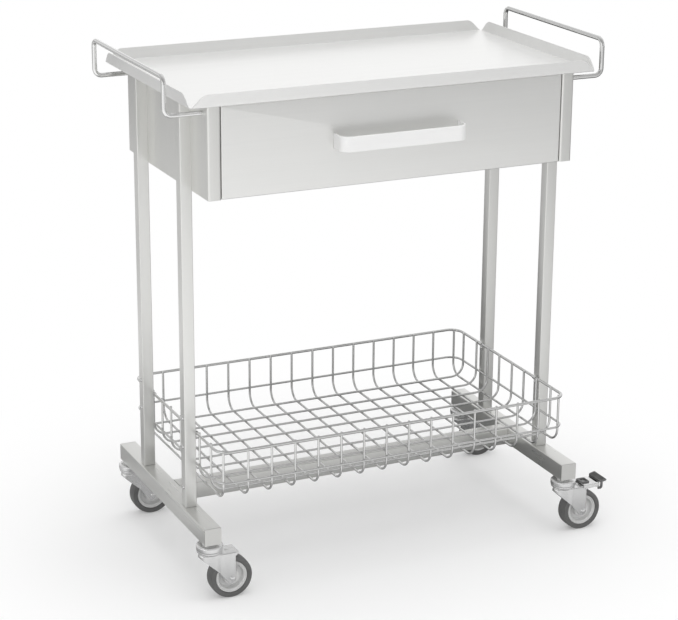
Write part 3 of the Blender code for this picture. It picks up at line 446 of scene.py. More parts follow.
def moulded(name, light, dark, rough, size=900.0, bump=0.15):
    material, tree, shader, position = newMaterial(name, 0.0)
    grain = place(tree, mouldGrain, {"Position": position, "Size": size})
    dress(tree, shader, grain, light, dark, maths(tree, "MULTIPLY_ADD", grain["Tone"], 0.1, rough - 0.05), bump, 0.0003)
    return material


finishes = {
    "worktop": dict(light=(0.84, 0.84, 0.83), dark=(0.81, 0.81, 0.80), rough=0.34, stretch=(6, 700, 700), bump=0.01,
                    metallic=0.55),
    "front": dict(light=(0.83, 0.83, 0.815), dark=(0.805, 0.805, 0.79), rough=0.32, stretch=(6, 700, 700),
                  metallic=0.8),
    "upright": dict(light=(0.775, 0.775, 0.755), dark=(0.755, 0.755, 0.735), rough=0.3, stretch=(700, 700, 6),
                    bump=0.007, metallic=0.85),
    "lengthways": dict(light=(0.775, 0.775, 0.755), dark=(0.755, 0.755, 0.735), rough=0.28, stretch=(700, 6, 700),
                       bump=0.007, metallic=0.8),
    "crossways": dict(light=(0.71, 0.71, 0.69), dark=(0.685, 0.685, 0.665), rough=0.3, stretch=(6, 700, 700),
                      bump=0.007, metallic=0.85),
    "polished": dict(light=(0.80, 0.80, 0.795), dark=(0.76, 0.76, 0.755), rough=0.12, stretch=(300, 30, 300),
                     bump=0.02),
    "wire": dict(light=(0.76, 0.76, 0.755), dark=(0.70, 0.70, 0.695), rough=0.16, stretch=(200, 200, 200), bump=0.02),
    "pull": dict(light=(0.92, 0.92, 0.915), dark=(0.89, 0.89, 0.885), rough=0.4, stretch=(10, 500, 500), bump=0.02,
                 metallic=0.15),
    "zinc": dict(light=(0.87, 0.87, 0.87), dark=(0.83, 0.83, 0.83), rough=0.24, stretch=(240, 240, 240), bump=0.006,
                 streaks=0.7, metallic=0.85),
    "slide": dict(light=(0.62, 0.63, 0.64), dark=(0.55, 0.56, 0.58), rough=0.38, stretch=(90, 20, 90), bump=0.03),
}
metal = {key: grainedMetal(key + "Metal", **values) for key, values in finishes.items()}
hubPlastic = moulded("hubPlastic", (0.68, 0.68, 0.675), (0.62, 0.62, 0.615), 0.42)
tyreRubber = moulded("tyreRubber", (0.14, 0.14, 0.138), (0.11, 0.11, 0.108), 0.45)
pedalPlastic = moulded("pedalPlastic", (0.15, 0.15, 0.15), (0.11, 0.11, 0.11), 0.5)
print("materials made")

# Worktop
worktop = {
    "length": 0.740, "depth": 0.406, "top": 0.850, "sheet": 0.0015, "setback": 0.0023,
    "rimHeight": 0.0215, "rimLean": 0.0014, "chamfer": 0.0205, "corner": 0.007, "cornerFrom": 0.62, "straight": 0.6,
    "fold": 0.0028, "foldSteps": 6, "edge": 0.00035, "columns": 33, "rows": 17,
}
underside = worktop["top"] - worktop["sheet"]


def makeWorktop(w):
    # The plate is a flat grid. Each rim rises from its edge: out and up round the fold, then straight,
    # while its length shrinks with height by the chamfer
    fold, steps = w["fold"], w["foldSteps"]
    halfX, halfY = w["length"] / 2 - fold, w["depth"] / 2 - fold
    columns, rows = w["columns"], w["rows"]
    x, y = np.meshgrid(np.linspace(-halfX, halfX, columns), np.linspace(-halfY, halfY, rows), indexing="ij")
    shells = [surface(np.stack([x, y, 0 * x], -1))]
    lean = math.atan2(w["rimLean"], w["rimHeight"])
    a = np.linspace(0, math.pi / 2 - lean, steps + 1)
    out, up = fold * np.sin(a), fold * (1 - np.cos(a))
    # Straight steps first, then finer ones towards the rim's upper edge
    finer = w["straight"] + (1 - w["straight"]) * np.sin(np.linspace(0, math.pi / 2, 9)[1:])
    climb = np.concatenate([np.linspace(0, w["straight"], 5)[1:], finer])
    out = np.concatenate([out, out[-1] + (fold + w["rimLean"] - out[-1]) * climb])
    up = np.concatenate([up, up[-1] + (w["rimHeight"] - up[-1]) * climb])
    # The chamfer is straight up to where its round corner starts, and the round one follows a quarter circle
    level = up / w["rimHeight"]
    corner = np.clip((level - w["cornerFrom"]) / (1 - w["cornerFrom"]), 0, 1)
    shrink = w["chamfer"] * level + w["corner"] * (1 - np.sqrt(1 - corner ** 2))
    for half, reach, count, swap in ((halfY, halfX, rows, False), (halfX, halfY, columns, True)):
        t = np.linspace(-1, 1, count)
        side = t[None, :] * (half - shrink[:, None])
        away = np.broadcast_to((reach + out)[:, None], side.shape)
        height = np.broadcast_to(up[:, None], side.shape)
        for sign in (-1, 1):
            grid = (side, sign * away, height) if swap else (sign * away, side, height)
            shells.append(surface(np.stack(grid, -1)))
    lift = np.array([0, w["setback"], underside])
    shells = [(points + lift, faces) for points, faces in shells]
    addPiece("worktopSheet", shells, metal["worktop"], "frame", "steel", ["worktop"],
             edge=w["edge"], wall=w["sheet"], facing=(0, 0, -1), sharp=40)


makeWorktop(worktop)
print("worktop made")

# Housing
housing = {
    "length": 0.668, "depth": 0.373, "height": 0.1555, "sheet": 0.0012, "post": 0.020, "innerSkin": 0.345,
    "flange": 0.015, "fold": 0.0024, "foldSteps": 6, "gap": 0.0003,
}
restY = -housing["depth"] / 2
housingHalf = housing["length"] / 2
housingBottom = underside - housing["height"]
skinX = housingHalf - housing["post"]


def makeHousing(h):
    # Each side is one sheet: outer skin, a fold round the post, inner skin. The back has a flange along each edge
    for side, label in sides:
        route = [(side * housingHalf, -restY), (side * housingHalf, restY), (side * skinX, restY),
                 (side * skinX, restY + h["innerSkin"])]
        sheet = foldedSheet(roundedRoute(route, h["fold"], h["foldSteps"]), h["sheet"],
                            housingBottom, underside - h["gap"], "XY", side=side)
        addPiece(label + "SidePanel", [sheet], metal["upright"], "frame", "steel", [label + "_side_panel"],
                 edge=sheetEdge)
    top = underside - h["gap"]
    route = [(-restY - h["flange"], housingBottom), (-restY, housingBottom), (-restY, top), (-restY - h["flange"], top)]
    wide = housingHalf - h["sheet"] - h["gap"]
    sheet = foldedSheet(roundedRoute(route, h["fold"], h["foldSteps"]), h["sheet"], -wide, wide, "YZ", side=1)
    addPiece("backPanel", [sheet], metal["crossways"], "frame", "steel", ["back_panel"], edge=sheetEdge)


makeHousing(housing)

# Handles
handle = {
    "rod": 0.008, "standoff": 0.0305, "span": 0.337, "rise": 0.046, "drop": 0.016, "bend": 0.012, "bendSteps": 10,
    "sides": 24, "weldRadius": 0.0062, "weldLength": 0.0022, "weldSink": 0.0004,
}


def makeHandle(name, side, h):
    inner = side * (housingHalf + housing["gap"])
    outer = side * (worktop["length"] / 2 + h["standoff"])
    low, high, y = worktop["top"] - h["drop"], worktop["top"] + h["rise"], h["span"] / 2
    route = [(inner, -y, low), (outer, -y, low), (outer, -y, high), (outer, y, high), (outer, y, low), (inner, y, low)]
    shells = [rod(roundedRoute(route, h["bend"], h["bendSteps"]), h["rod"] / 2, h["sides"])]
    # A weld bead round each end: radius falls off from the panel as a quarter circle
    a = np.linspace(0, math.pi / 2, 5)
    inside = h["rod"] / 2 - h["weldSink"]
    bead = h["weldRadius"] - inside
    profile = np.stack([inside + bead * (1 - np.sin(a)), h["weldLength"] * (1 - np.cos(a))], 1)
    profile = np.vstack([profile[::-1], [[inside, 0]], profile[-1:]])
    for end in (-1, 1):
        ring = moved(turned(profile, h["sides"]), axis="X", flip=side > 0)
        shells.append((ring[0] + (inner, end * y, low), ring[1]))
    addPiece(name + "HandleRod", shells, metal["polished"], "frame", "bright_steel", [name + "_handle"])


for side, label in sides:
    makeHandle(label, side, handle)
print("housing and handles made")

# Tube frame
tube = {
    "leg": 0.020, "wall": 0.0015, "spacing": 0.2048, "corner": 0.0013, "gap": 0.0003,
    "foot": 0.030, "footBottom": 0.105, "footLength": 0.4264, "cap": 0.002, "capCrown": 0.0007,
}
legX = housingHalf + tube["gap"] + tube["leg"] / 2
footTop = tube["footBottom"] + tube["foot"]


def roundedCap(size, corner, thickness, edge, outwards, place):
    # Rounded squares of shrinking size, whose edge follows a quarter circle
    a = np.linspace(0, math.pi / 2, 4)
    rings = [(size, 0.0)] + [(size - 2 * edge * (1 - math.cos(t)), thickness - edge + edge * math.sin(t)) for t in a]
    grid = [atHeight(roundedSquare(s, s, max(corner - (size - s) / 2, 0.0003)), outwards * z) for s, z in rings]
    points, faces = surface(np.stack(grid), wrapColumns=True, caps=True)
    return along(points, "Y") * (1, -1, 1) + np.asarray(place), faces


def makeFrame(t):
    half, middleZ = t["footLength"] / 2 - t["cap"] - t["gap"], t["footBottom"] + t["foot"] / 2
    for side, label in sides:
        for end, where in ends:
            leg = squareTube(t["leg"], t["corner"], t["wall"], footTop + t["gap"], underside - t["gap"], "Z",
                             (side * legX, end * t["spacing"] / 2, 0))
            addPiece(f"{label}{where.title()}Leg", [leg], metal["upright"], "frame", "steel", [f"{label}_{where}_leg"],
                     edge=sheetEdge, sharp=60)
        foot = squareTube(t["foot"], t["corner"], t["wall"], -half, half, "Y", (side * legX, 0, middleZ))
        addPiece(label + "Foot", [foot], metal["lengthways"], "frame", "steel", [label + "_foot"], edge=sheetEdge,
                 sharp=60)
        for end, where in ends:
            seat = (side * legX, end * (t["footLength"] / 2 - t["cap"]), middleZ)
            cap = roundedCap(t["foot"], t["corner"], t["cap"], t["capCrown"], end, seat)
            addPiece(f"{label}Foot{where.title()}Cap", [cap], metal["crossways"], "frame", "steel",
                     [f"{label}_foot_{where}_cap"])
    reach = legX - t["foot"] / 2 - t["gap"]
    beam = squareTube(t["foot"], t["corner"], t["wall"], -reach, reach, "X", (0, 0, middleZ))
    addPiece("crossBeam", [beam], metal["crossways"], "frame", "steel", ["cross_beam"], edge=sheetEdge, sharp=60)


makeFrame(tube)
print("tube frame made")

# Wire basket
basket = {
    "depth": 0.4118, "forward": 0.0055, "rimAboveFoot": 0.1321, "ringBelowRim": 0.0561, "floorBelowRim": 0.0837,
    "rimWire": 0.005, "meshWire": 0.004, "crossWires": 16, "endInset": 0.0102,
    "longWires": (0.024, 0.0682, 0.1124, 0.1647), "corner": 0.024, "bend": 0.024, "sink": 0.0009,
    "sides": 14, "bendSteps": 10, "endRound": 0.0008,
}
rimZ = footTop + basket["rimAboveFoot"]
basketHalf = legX - tube["leg"] / 2 - tube["gap"] - basket["rimWire"] / 2


def makeBasket(b):
    # Two closed rings, and wires bent up inside them at both ends
    def ring(height, radius, inset):
        x, y = basketHalf - inset, b["depth"] / 2 - inset
        corners = [(-x, -y, height), (x, -y, height), (x, y, height), (-x, y, height)]
        return rod(roundedRoute(corners, b["corner"], 12, closed=True), radius, b["sides"], closedPath=True)

    def bentWire(route):
        line = roundedRoute(route, b["bend"], b["bendSteps"])
        return rod(line, b["meshWire"] / 2, b["sides"], endRound=b["endRound"])

    thinner = (b["rimWire"] - b["meshWire"]) / 2
    shells = [ring(0, b["rimWire"] / 2, 0), ring(-b["ringBelowRim"], b["meshWire"] / 2, thinner)]
    top, upper = b["rimWire"] / 2, -b["floorBelowRim"]
    lower = upper - b["meshWire"] + b["sink"]
    inset = (b["rimWire"] + b["meshWire"]) / 2 - b["sink"]
    first = basketHalf - b["endInset"]
    xs = np.linspace(-first, first, b["crossWires"])
    fromEnd = np.minimum(basketHalf - np.abs(xs), b["corner"])
    setback = b["corner"] - np.sqrt(b["corner"] ** 2 - (b["corner"] - fromEnd) ** 2)
    for x, y in zip(xs, b["depth"] / 2 - inset - setback):
        shells.append(bentWire([(x, -y, top), (x, -y, lower), (x, y, lower), (x, y, top)]))
    x = basketHalf - inset
    for distance in b["longWires"]:
        for y in (b["forward"] - distance, b["forward"] + distance):
            shells.append(bentWire([(-x, y, top), (-x, y, upper), (x, y, upper), (x, y, top)]))
    lift = (0, -b["forward"], rimZ)
    addPiece("wireBasket", [(p + lift, f) for p, f in shells], metal["wire"], "frame", "wire", ["basket"], sharp=50)


makeBasket(basket)

clip = {
    "width": 0.010, "sheet": 0.0012, "drop": 0.0125, "gap": 0.0003, "wrap": 250, "screwDrop": 0.0079,
    "head": 0.0068, "headHeight": 0.0028, "shank": 0.004, "screwLength": 0.009,
}


def domeScrew(head, height, shank, length, steps=28):
    # A domed head on a thin flange, with its shank below
    profile = dome(head / 2, height * 0.82, 7)[:-1] + (0, height * 0.18)
    profile = np.vstack([profile, [[head / 2, 0], [shank / 2, 0], [shank / 2, -length], [0, -length]]])
    return turned(profile, steps)


def makeClips(c):
    # The strap stands on the leg, then its route turns round the wire: wire + radius times (sine, minus cosine)
    leafX = basketHalf + basket["rimWire"] / 2 - c["sheet"] / 2
    radius = basket["rimWire"] / 2 + c["gap"] + c["sheet"] / 2
    start = math.asin((leafX - basketHalf) / radius)
    a = np.linspace(start, start - (math.radians(c["wrap"]) - start), 18)
    hook = np.stack([basketHalf + radius * np.sin(a), -radius * np.cos(a)], 1)
    route = np.vstack([[[leafX, -c["drop"]], [leafX, -c["drop"] * 0.6]], hook])
    for side, label in sides:
        for end, where in ends:
            piece, stands = f"{label}{where.title()}Clip", f"{label}_{where}_clip"
            y = end * tube["spacing"] / 2
            points, faces = foldedSheet(route * (side, 1), c["sheet"], y - c["width"] / 2, y + c["width"] / 2, "XZ",
                                        side=0.5, near=-0.5)
            addPiece(piece, [(points + (0, 0, rimZ), faces)], metal["polished"], "frame", "bright_steel", [stands],
                     edge=sheetEdge, sharp=50)
            screw = domeScrew(c["head"], c["headHeight"], c["shank"], c["screwLength"])
            seat = leafX - c["sheet"] / 2 - c["gap"]
            points = along(screw[0], "X") * (-side, 1, 1) + (side * seat, y, rimZ - c["screwDrop"])
            addPiece(piece + "Screw", [(points, screw[1])], metal["polished"], "frame", "bright_steel",
                     [stands + "_screw"])


makeClips(clip)

legScrew = {"head": 0.0076, "height": 0.0019, "gap": 0.0001,
            "heights": {"front": (0.296, 0.2445, 0.170), "rear": (0.296, 0.2445)}}


def makeLegScrews(s):
    # Small domed heads on the left legs' outer faces
    for end, where in ends:
        shells = []
        for z in s["heights"][where]:
            head = turned(dome(s["head"] / 2, s["height"], 6), 28)
            outerFace = -legX - tube["leg"] / 2 - s["gap"]
            points = along(head[0], "X") * (-1, 1, 1) + (outerFace, end * tube["spacing"] / 2, z)
            shells.append((points, head[1]))
        addPiece(f"left{where.title()}LegScrews", shells, metal["polished"], "frame", "bright_steel")


makeLegScrews(legScrew)
print("basket and clips made")

# Drawer
drawer = {
    "sideGap": 0.0023, "topGap": 0.0025, "frontDepth": 0.018, "frontFold": 0.0022, "sheet": 0.001,
    "trayLength": 0.335, "trayHeight": 0.110, "trayAboveHousing": 0.009, "trayFold": 0.004, "gap": 0.0003,
    "frontCorner": 0.0012,
}
slide = {"length": 0.330, "height": 0.045, "width": 0.0122, "sheet": 0.0012, "aboveTray": 0.030, "inset": 0.004,
         "play": 0.0006, "fold": 0.0016, "lip": 0.8, "innerLip": 0.45}
trayHalf = skinX - 2 * drawer["gap"] - slide["width"]
trayBottom = housingBottom + drawer["trayAboveHousing"]


def pan(halfWide, halfHigh, depth, fold, corner, steps=6):
    # Rounded rectangles that grow round the fold as a quarter circle, then stand straight to the open edge
    a = np.linspace(0, math.pi / 2, steps + 1)
    insets = np.concatenate([fold * (1 - np.sin(a)), [0.0]])
    heights = np.concatenate([fold * (1 - np.cos(a)), [depth]])
    grid = []
    for inset, height in zip(insets, heights):
        ring = roundedSquare(2 * (halfWide - inset), 2 * (halfHigh - inset), max(corner - inset, 0.0002), steps)
        grid.append(atHeight(ring, height))
    points, faces = surface(np.stack(grid), wrapColumns=True)
    return points, faces + [np.arange(len(grid[0]))[None]]


def makeDrawer(d, s):
    half = skinX - d["sideGap"]
    bottom, top = housingBottom, underside - d["topGap"]
    points, faces = pan(half, (top - bottom) / 2, d["frontDepth"], d["frontFold"], d["frontCorner"])
    points = points[:, [0, 2, 1]] + (0, restY, (top + bottom) / 2)
    addPiece("drawerFront", [(points, faces)], metal["front"], "drawer", "steel", ["drawer_front"],
             edge=sheetEdge, wall=d["sheet"], facing=(0, -1, 0), sharp=60)
    start = restY + d["frontDepth"] + d["gap"]
    points, faces = pan(trayHalf, d["trayLength"] / 2, d["trayHeight"], d["trayFold"], d["trayFold"])
    points = points + (0, start + d["trayLength"] / 2, trayBottom)
    addPiece("drawerTray", [(points, faces)], metal["crossways"], "drawer", "steel", ["drawer_tray"],
             edge=sheetEdge, wall=d["sheet"], facing=(0, 0, -1), sharp=60)
    mount = skinX - d["gap"]
    slideZ = trayBottom + s["aboveTray"] + s["height"] / 2
    outerHalf = s["height"] / 2
    middleHalf = outerHalf - s["sheet"] - s["play"]
    innerHalf = middleHalf - s["sheet"] - s["play"]
    # Name, place of the web and of the lips, half height, body, and how much shorter at each end
    sections = (
        ("outer", mount, mount - s["lip"] * s["width"], outerHalf, "frame", 0),
        ("middle", mount - s["sheet"] - s["play"], mount - s["lip"] * s["width"], middleHalf, "slide_", s["inset"]),
        ("inner", mount - s["width"], mount - s["innerLip"] * s["width"], innerHalf, "drawer", 0),
    )
    for side, label in sides:
        for section, web, lip, tall, body, inset in sections:
            route = [(side * lip, -tall), (side * web, -tall), (side * web, tall), (side * lip, tall)]
            route = roundedRoute(route, s["fold"], 5) + (0, slideZ)
            channel = foldedSheet(route, s["sheet"], start + inset, start + s["length"] - inset, "XZ")
            rides = body + label if body == "slide_" else body
            addPiece(f"{label}Slide{section.title()}", [channel], metal["slide"], rides, "zinc",
                     [f"slide_{section}_{label}"], edge=sheetEdge)


makeDrawer(drawer, slide)

pull = {"length": 0.231, "width": 0.0258, "sheet": 0.003, "reach": 0.037, "bend": 0.018, "belowTop": 0.0786,
        "edge": 0.0009}


def makePull(p):
    # A flat section with rounded edges, carried along the bow
    half, inner = p["length"] / 2 - p["sheet"] / 2, p["reach"] - p["sheet"] / 2
    route = [(-half, 0), (-half, -inner), (half, -inner), (half, 0)]
    path = roundedRoute(route, p["bend"] - p["sheet"] / 2, 14)
    path = atHeight(path + (0, restY), worktop["top"] - p["belowTop"])
    path[[0, -1], 1] = restY - drawer["gap"]
    section = roundedSquare(p["sheet"], p["width"], p["edge"], 5)
    addPiece("pullStrip", [carried(section, path, reference=(0, 0, 1))], metal["pull"], "drawer", "pull",
             ["drawer_pull"], sharp=50)


makePull(pull)
print("drawer made")

# Casters
caster = {
    "height": 0.105, "inset": 0.019, "trail": 0.0353, "wheelRadius": 0.0375,
    "tyreWidth": 0.023, "tyreCrown": 0.0004, "tyreShoulder": 0.0015,
    "hubRadius": 0.028, "hubWidth": 0.0215, "hubRing": 0.0254, "hubRim": 0.0232, "hubWeb": 0.003, "boss": 0.0135,
    "axle": 0.006, "axleHead": 0.0055, "axleHeadHeight": 0.0035,
    "stem": 0.010, "stemLength": 0.024, "collar": 0.012, "raceRadius": 0.023, "raceTop": 0.0038,
    "raceHeight": 0.0092, "raceRound": 0.0028, "headRadius": 0.0205, "running": 0.0003, "gap": 0.0003,
    "flangeRadius": 0.0222, "flangeHeight": 0.004, "headFoot": 0.0176,
    "forkTop": 0.0196, "forkSheet": 0.0025, "forkWidth": 0.0315, "forkEdge": 0.0007,
    "nose": 0.0202, "hoodWidth": 0.0232, "hoodInset": 0.0012, "flareStart": 0.001, "flareBend": 3.2,
    "hoodSheet": 0.0016, "hoodShoulder": 0.004, "noseDrop": 0.0052,
    "cheekFront": 0.0126, "cheekRear": 0.0464, "cheekNeck": 0.0412, "cheekStep": 0.0085,
    "tipRadius": 0.008, "tipDrop": 0.0012, "hoodDrop": 0.036, "rivetX": 0.0297, "rivetRadius": 0.0034,
    "rivetHeight": 0.0012,
}
axleZ = caster["wheelRadius"] - caster["height"]


def mountShell(c):
    # Stem, collar and the race's tall rounded dish. Height 0 is the foot bar's underside
    stem = c["stem"] / 2
    low = c["raceTop"] + c["raceHeight"]
    rim = arc((c["raceRadius"] - c["raceRound"], -c["raceTop"] - c["raceRound"]), c["raceRound"], 90, 0, 8)
    lower = arc((c["raceRadius"] - 0.0012, -low + 0.0012), 0.0012, 0, -70, 4)
    profile = np.vstack([
        [[0, c["stemLength"]], [stem - 0.0008, c["stemLength"]], [stem, c["stemLength"] - 0.0008], [stem, -c["gap"]],
         [c["collar"] - 0.0006, -c["gap"]], [c["collar"], -c["gap"] - 0.0006], [c["collar"], -c["raceTop"] + 0.0006],
         [c["collar"] + 0.0006, -c["raceTop"]]],
        rim, lower,
        [[c["headRadius"] + c["running"], -low], [c["headRadius"] + c["running"], -low + c["forkSheet"]],
         [0, -low + c["forkSheet"]]],
    ])
    return turned(profile, 64)


def headShell(c):
    # The fork's head: it turns inside the dish, and its flange runs down to the fork's top as a cone
    low = c["raceTop"] + c["raceHeight"]
    top, flange = -low + c["forkSheet"] - c["running"], -low - c["flangeHeight"]
    profile = np.vstack([
        [[0, top], [c["headRadius"], top], [c["headRadius"], -low - 2 * c["running"]]],
        arc((c["flangeRadius"] - 0.0008, -low - 2 * c["running"] - 0.0008), 0.0008, 90, 0, 3),
        arc((c["flangeRadius"] - 0.0012, flange + 0.0012), 0.0012, 0, -60, 3),
        [[c["headFoot"], -c["forkTop"] - c["forkSheet"] / 2], [0, -c["forkTop"] - c["forkSheet"] / 2]],
    ])
    return turned(profile, 64)


def cheekOutline(c):
    # The cheek's edge seen from the side: front edge, slope, round the axle, neck, and the step below the top
    top = -c["forkTop"] - 0.0004
    tip = arc((c["cheekNeck"] - c["tipRadius"], axleZ - c["tipDrop"]), c["tipRadius"], -141, 0, 16)
    front = [[c["cheekFront"], top], [c["cheekFront"], -c["forkTop"] - c["hoodDrop"]]]
    rear = roundedRoute([tip[-1], (c["cheekNeck"], -c["forkTop"] - c["cheekStep"]),
                         (c["cheekRear"], -c["forkTop"] - 0.0034), (c["cheekRear"], top)], 0.0012, 4)
    return np.vstack([front, tip[:-1], rear])


def hoodShell(c):
    # Stations from the nose to the cheeks. Half width: a half circle at the nose, straight, then a hollow
    # flare that follows a power of the way to the cheek. The lower edge slopes down towards the wheel
    half, wide = c["hoodWidth"] / 2, c["forkWidth"] / 2 - c["hoodInset"]
    nose, top = -c["nose"], -c["forkTop"] - 0.0003
    x = np.concatenate([
        nose + half * (1 - np.cos(np.linspace(0.02, math.pi / 2, 14))),
        np.linspace(nose + half, c["flareStart"], 4)[1:],
        np.linspace(c["flareStart"], c["cheekFront"] + 0.0012, 12)[1:],
    ])
    ahead = np.clip((x - nose) / half, 0, 1)
    flare = np.clip((x - c["flareStart"]) / (c["cheekFront"] - c["flareStart"]), 0, 1) ** c["flareBend"]
    width = half * np.sqrt(1 - (1 - ahead) ** 2) + (wide - half) * flare
    lowest = top - c["hoodDrop"] + 0.001
    low = np.interp(x, [nose, c["cheekFront"]], [top - c["noseDrop"], lowest])
    shoulder = np.minimum(c["hoodShoulder"], width * 0.7)[:, None]
    climb = np.linspace(0, 1, 10)[None, :-1]
    turn = np.linspace(0, math.pi / 2, 7)[None, :]
    halfZ = np.concatenate([low[:, None] + climb * (top - shoulder - low[:, None]),
                            top - shoulder + shoulder * np.sin(turn)], 1)
    halfY = np.concatenate([np.broadcast_to(width[:, None], (len(x), 9)),
                            width[:, None] - shoulder + shoulder * np.cos(turn)], 1)
    y = np.concatenate([halfY, -halfY[:, ::-1]], 1)
    z = np.concatenate([halfZ, halfZ[:, ::-1]], 1)
    return surface(np.stack([np.broadcast_to(x[:, None], y.shape), y, z], -1))


def forkShells(c):
    # The pressed fork's top plate with its rounded nose, and its two cheeks
    half, edge = c["forkWidth"] / 2, c["forkEdge"]
    low = -c["forkTop"] - c["forkSheet"]
    start = c["cheekFront"] - 0.004
    outline = roundedRoute([(start, -half), (c["cheekRear"], -half), (c["cheekRear"], half), (start, half)],
                           [0.0008, 0.0035, 0.0035, 0.0008], 6, closed=True)
    shells = [plate(outline, low, -c["forkTop"], edge)]
    for side in (-1, 1):
        inner, outer = side * (half - c["forkSheet"]), side * half
        shells.append(plate(cheekOutline(c), min(inner, outer), max(inner, outer), edge, "XZ"))
    return shells


def hubShell(c):
    # The hub's half profile: boss, deep groove with a sloping outer wall, a step, and the outer ring; then mirrored
    half, web = c["hubWidth"] / 2, c["hubWeb"] / 2
    bore = c["axle"] / 2 + c["running"]
    upper = np.array([
        (bore, half - 0.0006), (bore + 0.0006, half), (c["boss"] - 0.0014, half), (c["boss"] - 0.0004, half - 0.0004),
        (c["boss"], half - 0.0014), (c["boss"] + 0.0006, web + 0.0012), (c["boss"] + 0.0016, web),
        (c["hubRim"] - 0.0026, web), (c["hubRim"] - 0.0014, web + 0.0010), (c["hubRim"] - 0.0003, half - 0.0026),
        (c["hubRim"] + 0.0004, half - 0.0019), (c["hubRing"] - 0.0006, half - 0.0017), (c["hubRing"], half - 0.0012),
        (c["hubRing"] + 0.0004, half - 0.0003), (c["hubRing"] + 0.0010, half), (c["hubRadius"] - 0.0008, half),
        (c["hubRadius"], half - 0.0008),
    ])
    lower = upper[::-1] * (1, -1)
    return turned(np.vstack([upper, lower, upper[:1]]), 72)


def tyreShell(c):
    # The tyre's half profile: side, shoulder, and a tread whose radius falls off with the square of the width
    inner, half = c["hubRadius"] + c["gap"], c["tyreWidth"] / 2
    shoulder = c["tyreShoulder"]
    side = arc((c["wheelRadius"] - c["tyreCrown"] - shoulder, half - shoulder), shoulder, 90, 12, 7)
    t = np.linspace(side[-1, 1], 0, 6)[1:]
    crown = np.stack([c["wheelRadius"] - (c["wheelRadius"] - side[-1, 0]) * (t / side[-1, 1]) ** 2, t], 1)
    upper = np.vstack([[[inner, half - 0.0012], [inner + 0.0008, half - 0.0003], [inner + 0.0018, half]], side, crown])
    lower = upper[::-1][1:] * (1, -1)
    return turned(np.vstack([upper, lower, upper[:1]]), 96)


def boltShell(grip, diameter, head, height, steps=28):
    cap = dome(head, height, 7)[:-1] + (0, grip / 2)
    upper = np.vstack([cap, [[diameter / 2, grip / 2]]])
    return turned(np.vstack([upper, upper[::-1] * (1, -1)]), steps)


def makeCasters(c):
    mount, head, hood, fork = mountShell(c), headShell(c), hoodShell(c), forkShells(c)
    hub, tyre = hubShell(c), tyreShell(c)
    axle = boltShell(c["forkWidth"] + 2 * c["gap"], c["axle"], c["axleHead"], c["axleHeadHeight"])
    rivet = turned(dome(c["rivetRadius"], c["rivetHeight"], 5), 24)
    for end, where in ends:
        for side, label in sides:
            corner = f"{where}_{label}"
            forkBody, wheelBody = corner + "_fork_body", corner + "_wheel_body"
            seat = np.array([side * legX, end * (tube["footLength"] / 2 - c["inset"]), tube["footBottom"]])
            wheel = seat + (c["trail"], 0, axleZ)
            pieces = (
                ("Mount", [moved(mount, seat)], "frame", ["_caster_mount"], dict(sharp=32)),
                ("Fork", [moved(shell, seat) for shell in fork], forkBody, ["_fork"], dict(sharp=50)),
                ("Hood", [moved(hood, seat)], forkBody, [],
                 dict(edge=0.0003, wall=c["hoodSheet"], facing=(0, 0, 1), sharp=55)),
                ("ForkHead", [moved(head, seat)], forkBody, [], dict(sharp=32)),
                ("ForkRivet", [moved(rivet, seat + (c["rivetX"], 0, -c["forkTop"]))], forkBody, [], {}),
                ("Axle", [moved(axle, wheel, "Y")], forkBody, ["_axle"], {}),
            )
            for piece, shells, body, stands, finish in pieces:
                addPiece(where + label.title() + piece, shells, metal["zinc"], body, "zinc",
                         [corner + word for word in stands], **finish)
            addPiece(where + label.title() + "Hub", [moved(hub, wheel, "Y")], hubPlastic, wheelBody, "hub",
                     [corner + "_hub"], sharp=30)
            addPiece(where + label.title() + "Tyre", [moved(tyre, wheel, "Y")], tyreRubber, wheelBody, "tyre",
                     [corner + "_tyre"], sharp=60)


makeCasters(caster)
print("casters made")

# Brake
brake = {
    "pinX": 0.039, "pinDrop": 0.0044, "pin": 0.0026, "pinHead": 0.0022, "pinHeadHeight": 0.0012,
    "leverStart": 0.034, "leverEnd": 0.066, "sheet": 0.0016, "rise": 0.0015, "sideGap": 0.0004, "flange": 0.0075,
    "tongue": 0.028, "pedalStart": 0.0675, "pedalLength": 0.0125, "pedalWidth": 0.042, "pedalThick": 0.003,
    "tilt": math.radians(13), "hookDrop": 0.0115, "hookReach": 0.0055, "hookSheet": 0.0036, "hookBend": 0.0045,
    "tabStart": 0.0325, "tabLength": 0.0175, "tabWidth": 0.021, "tabThick": 0.0025, "tabBar": 0.0052, "tabEnd": 0.0028,
    "tabArm": 0.0045, "gap": 0.0003, "ribs": 4, "ribStart": 0.0022, "ribPitch": 0.0027,
    "ribWidth": 0.0011, "ribRise": 0.0004, "ribInset": 0.002, "tabSoft": 0.0008, "tabCorner": 0.003,
    "tabHoleCorner": 0.002, "leverBend": 0.0024, "tongueBend": 0.004, "tongueReach": 0.8,
    "padEdge": 0.0009, "ribEdge": 0.0003,
}


def softBox(low, high, edge, steps=3):
    # Stacked rounded rectangles whose size follows a quarter circle at the bottom and the top
    low, high = np.asarray(low, float), np.asarray(high, float)
    a = np.linspace(0, math.pi / 2, steps + 1)
    insets = np.concatenate([edge * (1 - np.sin(a)), edge * (1 - np.sin(a[::-1]))])
    heights = np.concatenate([low[2] + edge * (1 - np.cos(a)), high[2] - edge * (1 - np.cos(a[::-1]))])
    centre, size = (low + high) / 2, high - low
    grid = []
    for inset, height in zip(insets, heights):
        ring = roundedSquare(size[0] - 2 * inset, size[1] - 2 * inset, max(edge - inset, 0.0002) + 0.0004, steps)
        grid.append(atHeight(ring + centre[:2], height))
    return surface(np.stack(grid), wrapColumns=True, caps=True)


